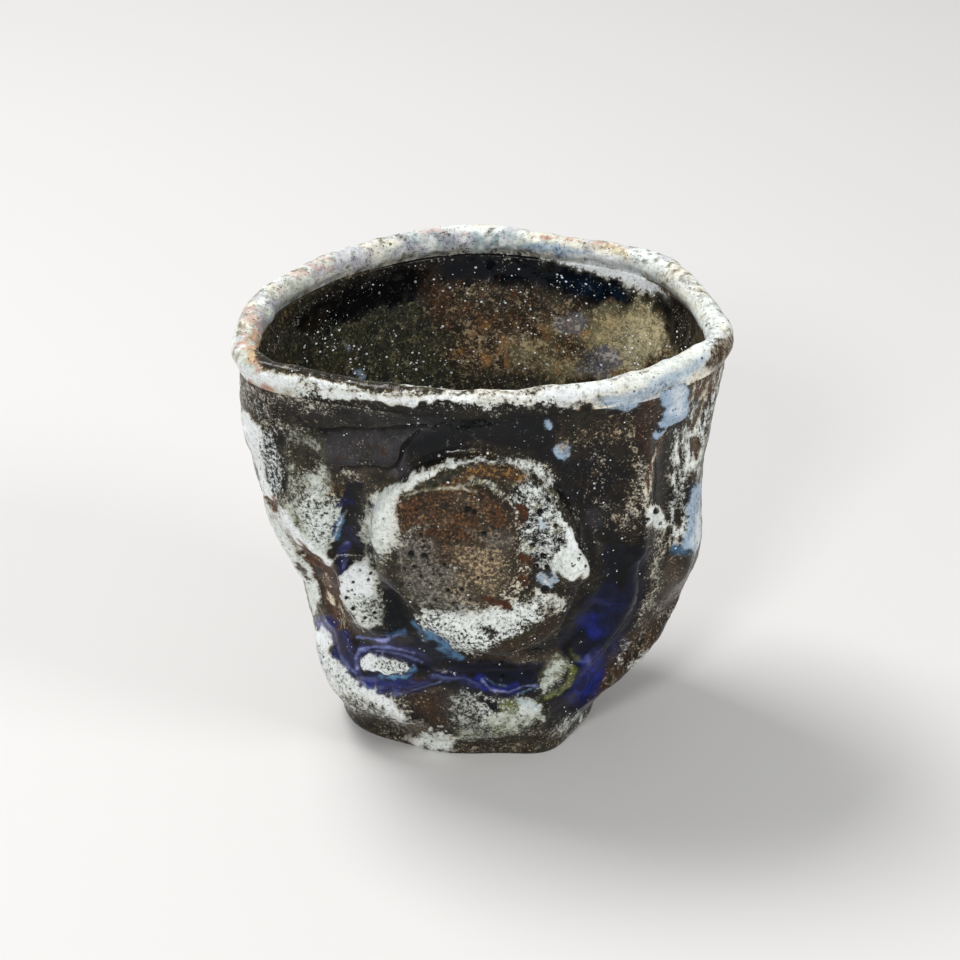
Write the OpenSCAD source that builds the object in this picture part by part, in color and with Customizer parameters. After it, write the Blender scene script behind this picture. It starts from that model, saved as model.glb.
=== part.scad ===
// Small hand-built sake cup: a pinched oval body with a rolled lip, a cut foot slab, clay pressed
// on while wet, and runs of glass that pooled between the pieces in the firing. The front faces -Y.

/* [Cup] */
// Width over the lip, left to right
cup_w = 68; // [56:1:88]
// Depth over the lip, front to back
cup_d = 56; // [48:1:72]
// Height from the table to the crest of the lip
cup_h = 63.5; // [54:0.5:82]
// Wall thickness just under the lip
wall_rim_t = 2.6; // [2.2:0.1:3.2]
// Wall thickness near the floor
wall_low_t = 4.8; // [4:0.1:5.6]
// Thickness of the floor above the foot slab
floor_t = 4; // [3:0.5:7]

/* [Lip] */
// Thickness of the rolled lip across the wall
lip_t = 3.6; // [3.2:0.1:4.8]
// Height of the rolled lip
lip_h = 3.4; // [2.6:0.1:4.6]

/* [Foot] */
// Height of the foot slab
foot_h = 2.4; // [1.8:0.1:3.6]
// Depth of the hollow cut in the underside
foot_hollow_h = 0.8; // [0.4:0.1:1.2]
// Width of the ring that the cup stands on
foot_ring_w = 5; // [3:0.5:7]

/* [Medallion] */
// Width of the pressed pad
pad_w = 26.4; // [24:0.2:29]
// Height of the pressed pad along the wall
pad_h = 32.5; // [30:0.5:35]
// Thickness of the pad at its raised ring
pad_t = 3; // [2.2:0.1:3.8]
// Width of the dished disc inside the ring
disc_w = 14.4; // [12:0.2:16]
// Height of the dished disc along the wall
disc_h = 21; // [17:0.2:22]
// Thickness of the dished disc at its edge
disc_t = 1; // [0.7:0.1:1.5]
// Width of the drop of glaze on the right of the ring
bead_w = 4.2; // [3:0.1:5]

/* [Pressed clay] */
// Width of the folded lug on the left
fold_w = 8.4; // [7:0.2:9.4]
// Thickness of the folded lug
fold_t = 2.4; // [1.6:0.1:3.2]
// Width of the oval lobe left of the medallion
lobe_w = 6.4; // [5.6:0.2:7.4]
// Height of the oval lobe
lobe_h = 13; // [10:0.5:14]
// Thickness of the oval lobe
lobe_t = 3; // [2:0.1:3.8]
// Width of the clay roll at the foot
roll_w = 6; // [4.5:0.1:6.4]
// Thickness of the clay roll at the foot
roll_t = 1.9; // [1.2:0.1:2.6]
// Width of the ribs up the sides
rib_w = 3.8; // [3:0.1:4.4]
// Height that the ribs stand off the wall
rib_t = 1.5; // [1:0.1:2.2]

/* [Fused glass] */
// Width of the glass run under the medallion
pool_w = 4.6; // [3.6:0.1:5]
// Thickness of the glass
pool_t = 1; // [0.7:0.1:1.5]

/* [Hidden] */

// Clearance between a pressed piece and what it sits on
seam_gap = 0.15;
// Clearance round the disc in its seat
seat_spare = 0.5;
// Overrun of a cut past the face that it opens
cut_over = 0.5;
// Step from the wall in to the edge of the foot slab
foot_inset = 0.4;
// Facets round the wall, rows up its outside and up its inside
sides = 80;
rows = 33;
inner_rows = 9;
// Facets round the pad, the disc, the lobe and the drop
pad_facets = 44;
disc_facets = 36;
lobe_facets = 26;
bead_facets = 16;
// Steps along a laid piece, and along the long glass run
laid_steps = 14;
pool_steps = 18;
// Share by which the facets crowd towards the front, where the ornament is
front_crowd_share = 0.15;

wall_top = cup_h - lip_h;
floor_z = foot_h + floor_t;

// The wall at rising heights, as shares of the cup's height, width and depth:
// [height, half width, half depth, shift to the right, shift to the back]
wall_shares = [
    [0.000, 0.260, 0.243, -0.026, -0.034],
    [0.060, 0.286, 0.273, -0.025, -0.038],
    [0.125, 0.318, 0.298, -0.012, -0.036],
    [0.220, 0.362, 0.323, 0.008, -0.030],
    [0.315, 0.392, 0.350, 0.022, -0.020],
    [0.410, 0.420, 0.380, 0.027, -0.016],
    [0.505, 0.441, 0.408, 0.016, -0.013],
    [0.600, 0.455, 0.428, 0.000, -0.011],
    [0.690, 0.461, 0.441, -0.008, -0.009],
    [0.790, 0.468, 0.449, -0.012, -0.006],
    [0.880, 0.472, 0.458, -0.010, 0.000],
    [1.000, 0.476, 0.494, -0.004, -0.002]
];

// Swellings (+) and hollows (-) of the wall:
// [angle, height share, spread in degrees, spread in height share, amount as a share of cup_w]
swell_shares = [
    // corners of the mouth
    [208, 1.00, 16, 0.34, 0.058],
    [343, 1.00, 12, 0.34, 0.046],
    [319, 0.98, 15, 0.40, 0.028],
    [126, 0.95, 22, 0.60, -0.028],
    [154, 1.00, 17, 0.40, -0.030],
    [178, 1.00, 13, 0.30, -0.010],
    [64, 1.00, 16, 0.50, -0.014],
    [37, 1.00, 14, 0.50, 0.014],
    // broad belly on the right
    [352, 0.45, 24, 0.110, 0.010],
    // hollow neck under the lip
    [238, 0.94, 17, 0.050, -0.012],
    [266, 0.945, 18, 0.055, -0.018],
    [300, 0.94, 17, 0.060, -0.014],
    // shoulder on the left
    [205, 0.84, 9, 0.070, 0.014],
    // channel that runs under the medallion
    [222, 0.25, 9, 0.055, -0.014],
    [243, 0.25, 12, 0.050, -0.018],
    [270, 0.26, 14, 0.050, -0.022],
    [292, 0.29, 12, 0.055, -0.022],
    [307, 0.37, 9, 0.070, -0.020],
    [314, 0.48, 8, 0.080, -0.016],
    // groove and valley left of the medallion
    [232, 0.70, 6, 0.070, -0.022],
    [230, 0.58, 6, 0.070, -0.022],
    [239, 0.42, 6, 0.070, -0.018],
    // channel inside the left rib
    [214, 0.48, 5, 0.080, -0.014],
    [213, 0.36, 5, 0.070, -0.014],
    // hollows on the right
    [304, 0.80, 10, 0.090, -0.014],
    [328, 0.66, 4, 0.180, -0.012],
    // foot: cut square at the front right, rounded off at the front left
    [310, 0.02, 15, 0.080, 0.036],
    [232, 0.00, 18, 0.080, -0.014],
    [198, 0.11, 15, 0.060, 0.014],
    // belly just over the foot
    [262, 0.12, 24, 0.050, 0.012],
    [292, 0.11, 16, 0.050, 0.010],
    // finger marks round the back
    [96, 0.56, 26, 0.170, -0.012],
    [62, 0.34, 18, 0.120, 0.010],
    [132, 0.40, 18, 0.130, -0.012],
    [22, 0.55, 12, 0.200, -0.010],
    [162, 0.60, 14, 0.120, 0.010],
    [150, 0.16, 16, 0.070, 0.008]
];

// Section of the rolled lip, from its seat up the inside, over the crest and down the outside:
// [out from the middle as a share of lip_t, up as a share of lip_h]
lip_shares = [[0.38, 0], [-0.36, 0], [-0.50, 0.26], [-0.45, 0.62], [-0.26, 0.90], [0.04, 1],
    [0.34, 0.89], [0.52, 0.60], [0.53, 0.24]];
// High and low places of the lip: [angle, 1, spread, 1, share of its height]
lip_swell_shares = [
    [221, 1, 5, 1, 0.10],
    [236, 1, 22, 1, -0.20],
    [268, 1, 20, 1, -0.14],
    [295, 1, 20, 1, -0.20],
    [60, 1, 16, 1, -0.08],
    [92, 1, 12, 1, 0.06],
    [150, 1, 14, 1, -0.06]
];
// Thick and thin places of the lip: [angle, 1, spread, 1, share of its thickness]
lip_width_shares = [
    [196, 1, 13, 1, 0.12],
    [229, 1, 13, 1, -0.20],
    [258, 1, 20, 1, -0.20],
    [292, 1, 24, 1, -0.22],
    [100, 1, 22, 1, 0.08],
    [170, 1, 16, 1, 0.10]
];

// How soon up the lip its thick and thin places are full
lip_round = 4;

// Outline of the medallion pad, every 30 degrees from the right, as shares of its half sizes
pad_edge_shares = [0.95, 1.00, 0.98, 1.00, 1.02, 1.04, 1.00, 0.88, 0.87, 0.95, 0.92, 0.88];
// Raised ring of the pad: [out from the seat of the disc to the edge, thickness]
ring_shares = [[1.00, 0.00], [1.10, 0.28], [1.12, 0.58], [0.98, 0.86], [0.78, 1.00],
    [0.54, 0.95], [0.28, 0.80], [0.08, 0.64]];
// Rings across the back of the pad and back across the seat of the disc
pad_back_shares = [-0.86, -0.5, 0, 0.5];
pad_seat_shares = [0, -0.3, -0.6, -0.86];
// Centre of the medallion: angle and height share
pad_place_share = [269.5, 0.612];
// Thinning of the pad from its middle to its top edge
pad_thin_share = 0.36;
// Seat of the disc: thickness of the clay under it, and its place on the pad
seat_share = 0.60;
disc_shift_share = [-0.078, 0.116];
// Dished disc: [out from the centre, thickness]
dish_shares = [[1.00, 0.00], [1.03, 0.45], [0.98, 0.85], [0.90, 1.00], [0.78, 0.80],
    [0.55, 0.50], [0.30, 0.42], [0.12, 0.50]];
// Rings under a disc or a pellet, out from its centre
under_shares = [0.14, 0.44, 0.74];
// Cushioned top of a pressed pellet: [out from the centre, thickness]
pellet_shares = [[1.00, 0.00], [1.07, 0.30], [1.05, 0.58], [0.92, 0.82], [0.70, 0.95],
    [0.40, 1.00], [0.15, 1.00]];
// Drop of glaze: place on the ring as angle round the pad and share of its half sizes
bead_turn = 357;
bead_reach_share = 0.84;
// Height and thickness of the drop as shares of its width
bead_high_share = 1.15;
bead_thick_share = 0.42;
// Oval lobe: angle and height share of its middle, and its lean
lobe_place_share = [228, 0.463];
lobe_lean = 0;

// Courses of the long pieces: [way along, angle, height share, width share, thickness share]
fold_course_shares = [
    [0.00, 219.0, 0.765, 0.60, 0.25],
    [0.30, 219.0, 0.695, 1.00, 0.85],
    [0.60, 217.5, 0.620, 0.80, 1.00],
    [0.85, 218.0, 0.560, 0.45, 0.90],
    [1.00, 218.5, 0.530, 0.16, 0.40]
];
left_rib_shares = [
    [0.00, 204.0, 0.750, 0.40, 0.25],
    [0.25, 205.0, 0.640, 0.90, 0.90],
    [0.55, 203.5, 0.500, 1.00, 1.00],
    [0.80, 203.0, 0.390, 0.80, 0.80],
    [1.00, 204.5, 0.310, 0.30, 0.30]
];
roll_course_shares = [
    [0.00, 194.0, 0.265, 0.35, 0.30],
    [0.25, 201.0, 0.205, 0.90, 0.90],
    [0.50, 212.0, 0.155, 1.00, 1.00],
    [0.75, 227.0, 0.120, 0.90, 0.75],
    [1.00, 243.0, 0.115, 0.30, 0.25]
];
rib_front_shares = [
    [0.00, 317.0, 0.905, 0.45, 0.30],
    [0.35, 319.0, 0.790, 1.00, 0.90],
    [0.70, 320.0, 0.660, 0.95, 1.00],
    [1.00, 322.0, 0.550, 0.30, 0.30]
];
rib_side_shares = [
    [0.00, 341.0, 0.930, 0.45, 0.30],
    [0.25, 337.0, 0.800, 1.00, 0.80],
    [0.60, 336.0, 0.620, 1.10, 1.00],
    [0.85, 338.0, 0.480, 0.85, 0.90],
    [1.00, 340.0, 0.410, 0.30, 0.30]
];
rib_low_shares = [
    [0.00, 347.0, 0.350, 0.40, 0.30],
    [0.30, 339.0, 0.280, 1.10, 0.90],
    [0.65, 329.0, 0.190, 1.15, 1.00],
    [1.00, 318.0, 0.100, 0.40, 0.35]
];
channel_shares = [
    [0.00, 206.0, 0.315, 0.40, 0.35],
    [0.15, 214.0, 0.265, 0.80, 0.80],
    [0.32, 227.0, 0.240, 1.15, 1.00],
    [0.50, 245.0, 0.230, 1.00, 1.00],
    [0.75, 271.0, 0.225, 0.80, 0.90],
    [1.00, 292.0, 0.232, 0.40, 0.40]
];
groove_shares = [
    [0.00, 232.0, 0.780, 0.30, 0.35],
    [0.35, 231.5, 0.710, 0.50, 1.00],
    [0.70, 229.0, 0.640, 0.44, 0.95],
    [1.00, 226.5, 0.585, 0.26, 0.35]
];
side_course_shares = [
    [0.00, 317.5, 0.560, 0.45, 0.40],
    [0.35, 315.5, 0.450, 1.05, 1.00],
    [0.70, 311.0, 0.335, 1.20, 1.00],
    [1.00, 305.0, 0.205, 0.50, 0.40]
];

function total(list, i = 0, sum = 0) = i == len(list) ? sum : total(list, i + 1, sum + list[i]);
function bell(x) = exp(-x * x);
function turn(a) = a - 360 * round(a / 360);

// Smooth curve through a table whose first column rises: column c at key k
function slope(table, c, i) =
    let (a = max(i - 1, 0), b = min(i + 1, len(table) - 1))
    (table[b][c] - table[a][c]) / (table[b][0] - table[a][0]);
function curve(table, c, k) =
    let (
        last = len(table) - 1,
        i = max(0, min(last - 1, total([for (row = table) row[0] <= k ? 1 : 0]) - 1)),
        span = table[i + 1][0] - table[i][0],
        x = max(0, min(1, (k - table[i][0]) / span)),
        x2 = x * x,
        x3 = x2 * x
    )
    (2 * x3 - 3 * x2 + 1) * table[i][c] + (x3 - 2 * x2 + x) * span * slope(table, c, i)
        + (3 * x2 - 2 * x3) * table[i + 1][c] + (x3 - x2) * span * slope(table, c, i + 1);
// Smooth closed outline through evenly spaced shares, at angle a
function around(list, a) =
    let (
        n = len(list),
        at = a / 360 * n,
        i = floor(at),
        x = (1 - cos(180 * (at - i))) / 2
    )
    list[(i + n) % n] * (1 - x) + list[(i + 1 + n) % n] * x;

function swell(list, a, h) =
    total([for (s = list) s[4] * bell(turn(a - s[0]) / s[2]) * bell((h - s[1]) / s[3])]);

// Distance of the plain oval from its centre at angle a, height share h
function oval_r(a, h) =
    let (w = cup_w * curve(wall_shares, 1, h), d = cup_d * curve(wall_shares, 2, h))
    1 / sqrt(pow(cos(a) / w, 2) + pow(sin(a) / d, 2));
function centre(h) = [cup_w * curve(wall_shares, 3, h), cup_d * curve(wall_shares, 4, h)];
// A point of the outer wall at angle a and height z, moved outwards by off
function wall_at(a, z, off = 0) =
    let (
        h = z / wall_top,
        c = centre(h),
        r = oval_r(a, h) + cup_w * swell(swell_shares, a, h) + off
    )
    [c[0] + r * cos(a), c[1] + r * sin(a), z];
// The same, by millimetres right of and above a place given as angle and height share
function beside(place, right, above, off) =
    let (z = wall_top * place[1] + above, r = oval_r(place[0], z / wall_top))
    wall_at(place[0] + right / r * 180 / PI, z, off);
// The inside follows the broad swellings only, as thumbs leave it
broad_spread = 12;
broad_reach_share = 0.3;
function inner_at(a, z) =
    let (
        h = z / wall_top,
        c = centre(h),
        broad = [for (s = swell_shares) if (s[2] >= broad_spread && s[3] >= broad_reach_share) s],
        r = oval_r(a, h) + cup_w * swell(broad, a, h) - wall_low_t + (wall_low_t - wall_rim_t) * h
    )
    [c[0] + r * cos(a), c[1] + r * sin(a), z];

function side_angle(i) =
    let (x = 2 * i / sides)
    270 + 180 * x - 180 * front_crowd_share * sin(180 * x);
side_angles = [for (i = [0 : sides - 1]) side_angle(i)];

// Closed skin over a list of rings of equal length: closed on itself, or capped at both ends, where a
// zipped cap joins each point of a thin section with the one that lies across it
module skin(rings, closed = false, zipped = false) {
    n = len(rings[0]);
    last = len(rings) - 1;
    points = [for (ring = rings) each ring];
    flat_caps = [[for (i = [0 : n - 1]) i], [for (i = [n - 1 : -1 : 0]) last * n + i]];
    zipped_caps = [for (i = [0 : n / 2 - 2])
        let (a = i, b = i + 1, c = n - 2 - i, d = n - 1 - i, end = last * n)
        each [[a, b, d], [b, c, d], [end + d, end + b, end + a], [end + d, end + c, end + b]]];
    caps = closed ? [] : zipped ? zipped_caps : flat_caps;
    walls = [for (j = [0 : closed ? last : last - 1]) for (i = [0 : n - 1])
        let (k = (i + 1) % n, a = j * n, b = (j + 1) % (last + 1) * n)
        each [[a + i, b + i, a + k], [a + k, b + i, b + k]]];
    polyhedron(points = points, faces = concat(caps, walls), convexity = 6);
}

// Section of a laid piece: along its seat, then over its crown as [across, thickness]
flat_shares = [1, 0.5, 0, -0.5, -1];
crown_shares = [[-0.94, 0.42], [-0.60, 0.86], [0, 1], [0.60, 0.86], [0.94, 0.42]];

// A long piece laid on the wall along a course, w wide and t thick, with tapered ends
module laid_run(course, w, t, steps = laid_steps) {
    skin([for (j = [0 : steps])
        let (
            k = j / steps,
            place = [curve(course, 1, k), curve(course, 2, k)],
            k0 = max(0, k - 1 / steps / 2),
            k1 = min(1, k + 1 / steps / 2),
            r = oval_r(place[0], place[1]),
            along = r * PI / 180 * (curve(course, 1, k1) - curve(course, 1, k0)),
            rise = wall_top * (curve(course, 2, k1) - curve(course, 2, k0)),
            way = norm([along, rise]),
            half = w / 2 * curve(course, 3, k),
            high = t * curve(course, 4, k)
        )
        concat(
            [for (s = flat_shares)
                beside(place, s * half * rise / way, -s * half * along / way, seam_gap)],
            [for (s = crown_shares)
                beside(place, s[0] * half * rise / way, -s[0] * half * along / way,
                    seam_gap + high * s[1])]
        )
    ], zipped = true);
}

// A pellet pressed on the wall at a place, w wide, h high and t thick, leaning by an angle
module pellet(place, w, h, t, lean, facets, base = 0) {
    seat = [for (s = under_shares) [s, 0]];
    skin([for (s = concat(seat, pellet_shares))
        [for (i = [0 : facets - 1])
            let (
                a = 360 * i / facets,
                x = s[0] * w / 2 * cos(a),
                y = s[0] * h / 2 * sin(a)
            )
            beside(place, x * cos(lean) - y * sin(lean), x * sin(lean) + y * cos(lean),
                base + seam_gap + t * s[1])]]);
}

module body_wall() {
    color([0.82, 0.81, 0.76]) skin(concat(
        [for (j = [0 : rows])
            [for (a = side_angles) wall_at(a, foot_h + (wall_top - foot_h) * j / rows)]],
        [for (j = [inner_rows : -1 : 0])
            [for (a = side_angles) inner_at(a, floor_z + (wall_top - floor_z) * j / inner_rows)]]
    ));
}

module foot_slab() {
    function cut(in) = [for (a = side_angles) let (p = wall_at(a, foot_h, -in)) [p[0], p[1]]];
    color([0.33, 0.31, 0.25]) difference() {
        linear_extrude(foot_h) polygon(cut(foot_inset));
        translate([0, 0, -cut_over])
            linear_extrude(foot_hollow_h + cut_over) polygon(cut(foot_inset + foot_ring_w));
    }
}

module lip_roll() {
    color([0.86, 0.85, 0.80]) skin([for (a = side_angles)
        [for (s = lip_shares)
            let (
                wide = lip_t * (1 + swell(lip_width_shares, a, 1) * sin(90 * min(1, lip_round * s[1]))),
                high = lip_h - seam_gap + lip_h * swell(lip_swell_shares, a, 1)
            )
            wall_at(a, wall_top, s[0] * wide - wall_rim_t / 2)
                + [0, 0, seam_gap + high * s[1]]]
    ], closed = true);
}

// Thickness of the pad at a height above its middle
function pad_at(above, share) =
    seam_gap + pad_t * share * (1 - pad_thin_share * above / (pad_h / 2));
disc_shift = [pad_w * disc_shift_share[0], pad_h * disc_shift_share[1]];
// Ellipse round the middle of the disc, as offsets on the pad
function disc_edge(a, share, spare = 0) =
    disc_shift + share * [(disc_w / 2 + spare) * cos(a), (disc_h / 2 + spare) * sin(a)];
function pad_edge(a) = around(pad_edge_shares, a) * [pad_w / 2 * cos(a), pad_h / 2 * sin(a)];

module medallion_pad() {
    // each ring runs from the seat (0) to the edge (1), or from the seat in to its middle (below 0)
    rings = concat(
        [for (s = pad_back_shares) [s, 0]],
        ring_shares,
        [for (s = pad_seat_shares) [s, seat_share]]
    );
    color([0.80, 0.80, 0.74]) skin([for (s = rings)
        [for (i = [0 : pad_facets - 1])
            let (
                a = 360 * i / pad_facets,
                seat = disc_edge(a, 1 + min(0, s[0]), seat_spare),
                out = max(0, s[0]),
                place = seat * (1 - out) + pad_edge(a) * out
            )
            beside(pad_place_share, place[0], place[1], pad_at(place[1], s[1]))]]);
}

module medallion_disc() {
    under = [for (s = under_shares) [s, 0]];
    color([0.45, 0.31, 0.20]) skin([for (s = concat(under, dish_shares))
        [for (i = [0 : disc_facets - 1])
            let (place = disc_edge(360 * i / disc_facets, s[0]))
            beside(pad_place_share, place[0], place[1],
                pad_at(place[1], seat_share) + seam_gap + disc_t * s[1])]]);
}

module glaze_bead() {
    right = bead_reach_share * pad_w / 2 * cos(bead_turn);
    above = bead_reach_share * pad_h / 2 * sin(bead_turn);
    place = [pad_place_share[0] + right / oval_r(pad_place_share[0], pad_place_share[1]) * 180 / PI,
        pad_place_share[1] + above / wall_top];
    color([0.90, 0.92, 0.92]) pellet(place, bead_w, bead_w * bead_high_share,
        bead_w * bead_thick_share, 0, bead_facets, base = pad_at(above - bead_w / 2, 1));
}

module left_fold() {
    color([0.84, 0.86, 0.82]) laid_run(fold_course_shares, fold_w, fold_t);
}

module left_lobe() {
    color([0.84, 0.85, 0.79]) pellet(lobe_place_share, lobe_w, lobe_h, lobe_t, lobe_lean, lobe_facets);
}

module left_rib() {
    color([0.74, 0.68, 0.58]) laid_run(left_rib_shares, rib_w, rib_t);
}

module foot_roll() {
    color([0.83, 0.84, 0.80]) laid_run(roll_course_shares, roll_w, roll_t);
}

module right_rib_front() {
    color([0.55, 0.48, 0.38]) laid_run(rib_front_shares, rib_w, rib_t);
}

module right_rib_side() {
    color([0.60, 0.54, 0.44]) laid_run(rib_side_shares, rib_w, rib_t);
}

module right_rib_low() {
    color([0.42, 0.35, 0.26]) laid_run(rib_low_shares, rib_w, rib_t);
}

module channel_glass() {
    color([0.16, 0.15, 0.42]) laid_run(channel_shares, pool_w, pool_t, pool_steps);
}

module groove_glass() {
    color([0.10, 0.12, 0.34]) laid_run(groove_shares, pool_w, pool_t);
}

module side_glass() {
    color([0.10, 0.10, 0.48]) laid_run(side_course_shares, pool_w, pool_t);
}

body_wall();
foot_slab();
lip_roll();
medallion_pad();
medallion_disc();
glaze_bead();
left_fold();
left_lobe();
left_rib();
foot_roll();
right_rib_front();
right_rib_side();
right_rib_low();
channel_glass();
groove_glass();
side_glass();
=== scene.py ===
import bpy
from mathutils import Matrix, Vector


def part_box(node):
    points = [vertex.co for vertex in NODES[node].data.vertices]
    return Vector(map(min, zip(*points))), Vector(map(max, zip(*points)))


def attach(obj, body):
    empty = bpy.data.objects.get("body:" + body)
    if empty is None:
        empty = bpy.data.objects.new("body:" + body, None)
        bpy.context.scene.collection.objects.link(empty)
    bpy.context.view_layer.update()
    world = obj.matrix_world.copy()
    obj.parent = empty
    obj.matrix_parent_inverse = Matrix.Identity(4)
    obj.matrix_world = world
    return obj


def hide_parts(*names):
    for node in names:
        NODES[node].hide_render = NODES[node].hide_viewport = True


bl_info = {
    "name": "Sake cup",
    "version": (1, 0, 0),
    "blender": (4, 5, 0),
    "location": "3D View > Sidebar > Cup",
    "description": "Dresses the packed sake cup in its melted clay, crawled glaze and pooled glass",
    "category": "Object",
}

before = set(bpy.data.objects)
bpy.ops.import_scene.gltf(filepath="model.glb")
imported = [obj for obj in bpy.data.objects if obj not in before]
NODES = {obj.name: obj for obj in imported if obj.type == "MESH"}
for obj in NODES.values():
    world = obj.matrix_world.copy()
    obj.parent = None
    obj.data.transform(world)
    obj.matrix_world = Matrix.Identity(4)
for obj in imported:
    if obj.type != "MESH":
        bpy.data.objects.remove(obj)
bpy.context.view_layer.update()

import math
from functools import cache
from types import SimpleNamespace

import bpy
import numpy as np
from bpy.props import FloatProperty, FloatVectorProperty, IntProperty, PointerProperty
from mathutils import Vector
from mathutils.bvhtree import BVHTree

MM = 0.001
LEVEL = np.array([1, 1, 0])
# A distance longer than any on a map
FAR_AWAY = 1e9

# The photograph's camera in the cup's frame: place in millimetres, tilt, and length in pixels
CAMERA_MM = (-0.126, -376.437, 235.858)
CAMERA_DOWN = 28.0
CAMERA_PIXELS = 3000.0
CAMERA_LENS = 112.5
CAMERA_SENSOR = 36.0
HALF_PICTURE = 480.0

# The stage, in metres: half the floor's side, and the place that the lights point at
FLOOR_HALF = 1.6
LIGHTS_AIM = (0, 0, 0.03)

# Pieces of clay and glass on the wall, in the order in which they are laid, and their slots
CLAY_SLOTS = {
    "medallion_pad": "medallion_glaze", "medallion_disc": "disc_glaze", "glaze_bead": "white_glaze",
    "left_fold": "white_glaze", "left_lobe": "white_glaze", "left_rib": "rib_glaze", "foot_roll": "white_glaze",
    "right_rib_front": "rib_glaze", "right_rib_side": "rib_glaze", "right_rib_low": "rib_glaze",
    "channel_glass": "blue_glass", "groove_glass": "blue_glass", "side_glass": "blue_glass",
}
CLAY = list(CLAY_SLOTS)

# How deep a piece's back lies under the wall, and how proud its face lies over it, in mm
SUNK_MM = 0.6
PROUD_MM = 0.03
# How deep the rim of a piece's face runs under its neighbour, in mm
HIDDEN_MM = 0.06
# Step between the faces of pieces that lap, so that none lies in another, and how many steps there are
LAYER_MM = 0.008
LAYERS = 4
# Least thickness of a piece
THINNEST_MM = 0.1
# Cells by which neighbouring pieces lap over each other
LAP = 5
# A piece shows where it raises the wall by this much, in mm
SHOWN_MM = 0.12
# How far the wall draws back under the pieces on it
WALL_SUNK_MM = 0.35
# How much thicker the thickest glaze is than none
COAT_MM = 0.12

# The foot and the wall in mm: their tops, the gap at the map's edges, and the foot's worn edge
FOOT_TOP_MM = 2.4
WALL_TOP_MM = 60.1
EDGE_GAP_MM = 0.02
FOOT_EDGE_MM = 0.9
FOOT_EDGE_CUT_MM = 0.35
# Rings under the foot as (share of its outline, height), and in the wall as (share, depth)
FOOT_HOLLOW = ((0.98, 0.0), (0.80, 0.0), (0.74, 0.12), (0.70, 0.55), (0.66, 0.72), (0.4, 0.8), (0.12, 0.8))
FOOT_BURIED = ((0.96, 0.1), (0.5, 0.3), (0.1, 0.3))

# Rays: where those to the axis start, and which rows and columns of a map are cast
RAY_START_MM = 90.0
CAST_ROWS = 3
CAST_COLUMNS = 4

# The wall's rows, the rows of the inside that its core follows, and the core's gap behind them
WALL_ROWS = 128
CORE_ROWS = (-1, -20, -45, -75, -100, -120, -140)
CORE_GAP_MM = 0.5
# The inside: all rows, those cast level, the height where they turn down, its middle, and its lining
INNER_ROWS = 150
LEVEL_ROWS = 105
TURN_MM = 14.0
BOWL_MIDDLE = (-1.0, -2.0)
LINING_MM = 0.9
# The lip's rows and turn in degrees, how far its feet stand off the wall and run down it, and how far
# past its outline in the photograph the marks still reach
LIP_ROWS = 56
LIP_TURNS = (-62, 242)
LIP_PROUD_MM = 0.04
LIP_COVER_MM = 0.3
LIP_FOOT_MM = 0.8
LIP_TURNED = -0.2

# Marks fade out over this much turning away from the camera
FACING_BAND = 0.16
# Length on the wall that a degree round the cup is taken as, in mm
DEGREE_MM = 0.5
# Marks this ragged or more have bent outlines, and round the cup they bend by this share
BENT_FROM = 2
AROUND_BEND = 0.3
# Veins of colour are drawn out a little, upwards, and bands of glass far along their mark
VEIN_STRETCH = np.array([1.0, 1.0, 0.7])
STREAM_LENGTH = 5.0
# A coat whose pattern is finer than this is pitted all over
PITTED_BELOW = 0.2
GLAZE_IOR = 1.5
# What a coat holds beside its two colours, in the order of the points' surface attribute
SURFACE = ("cover", "coarse", "gloss", "streak")

# Colours of the glazes and the clay as the eye sees them, 0 to 255
PALETTE = {
    "black": (7, 7, 8),
    "jet": (10, 10, 11),
    "ink": (8, 12, 18),
    "deep": (30, 33, 28),
    # slab is the grey of a painted reflection on the neck's black glaze, and plain grey glaze in the other slab marks
    "slab": (60, 58, 60),
    "umber": (30, 26, 20),
    "bark": (56, 41, 29),
    "maroon": (50, 32, 28),
    "russet": (76, 48, 32),
    "rust": (118, 78, 46),
    "salmon": (186, 142, 122),
    "pink": (200, 170, 162),
    "ochre": (140, 104, 66),
    "gold": (150, 112, 66),
    "amber": (72, 36, 18),
    "olive": (46, 45, 33),
    "khaki": (112, 107, 82),
    "moss": (98, 102, 52),
    "mud": (84, 74, 62),
    "sand": (160, 144, 116),
    "tan": (184, 164, 132),
    "straw": (198, 182, 140),
    "cream": (228, 221, 200),
    "bone": (204, 199, 183),
    "white": (228, 233, 228),
    "snow": (234, 238, 238),
    "mint": (194, 200, 186),
    "grit": (84, 80, 73),
    "stone": (138, 134, 124),
    "slate": (84, 87, 102),
    "lavender": (176, 174, 184),
    "lilac": (156, 156, 204),
    "teal": (128, 148, 150),
    "sky": (158, 179, 199),
    "azure": (84, 126, 160),
    "steel": (82, 104, 128),
    "navy": (14, 16, 34),
    "pool": (18, 30, 46),
    "indigo": (30, 36, 78),
    "ultramarine": (36, 46, 122),
    "violet": (58, 58, 104),
    "periwinkle": (118, 128, 176),
}


def to_linear(rgb):
    c = np.asarray(rgb, float) / 255.0
    return np.where(c <= 0.04045, c / 12.92, ((c + 0.055) / 1.055) ** 2.4)


LINEAR = {name: to_linear(rgb) for name, rgb in PALETTE.items()}

# Softness of the edge of crawled glaze against that of glass
WIDE_EDGE = 1.7


def glaze(under, over, cover, coarse, gloss, streak=0.0, **more):
    """A whole finish; more holds its edge, its veins, or its bands and their flow."""
    return dict(under=under, over=over, cover=cover, coarse=coarse, gloss=gloss, streak=streak, **more)


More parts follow.
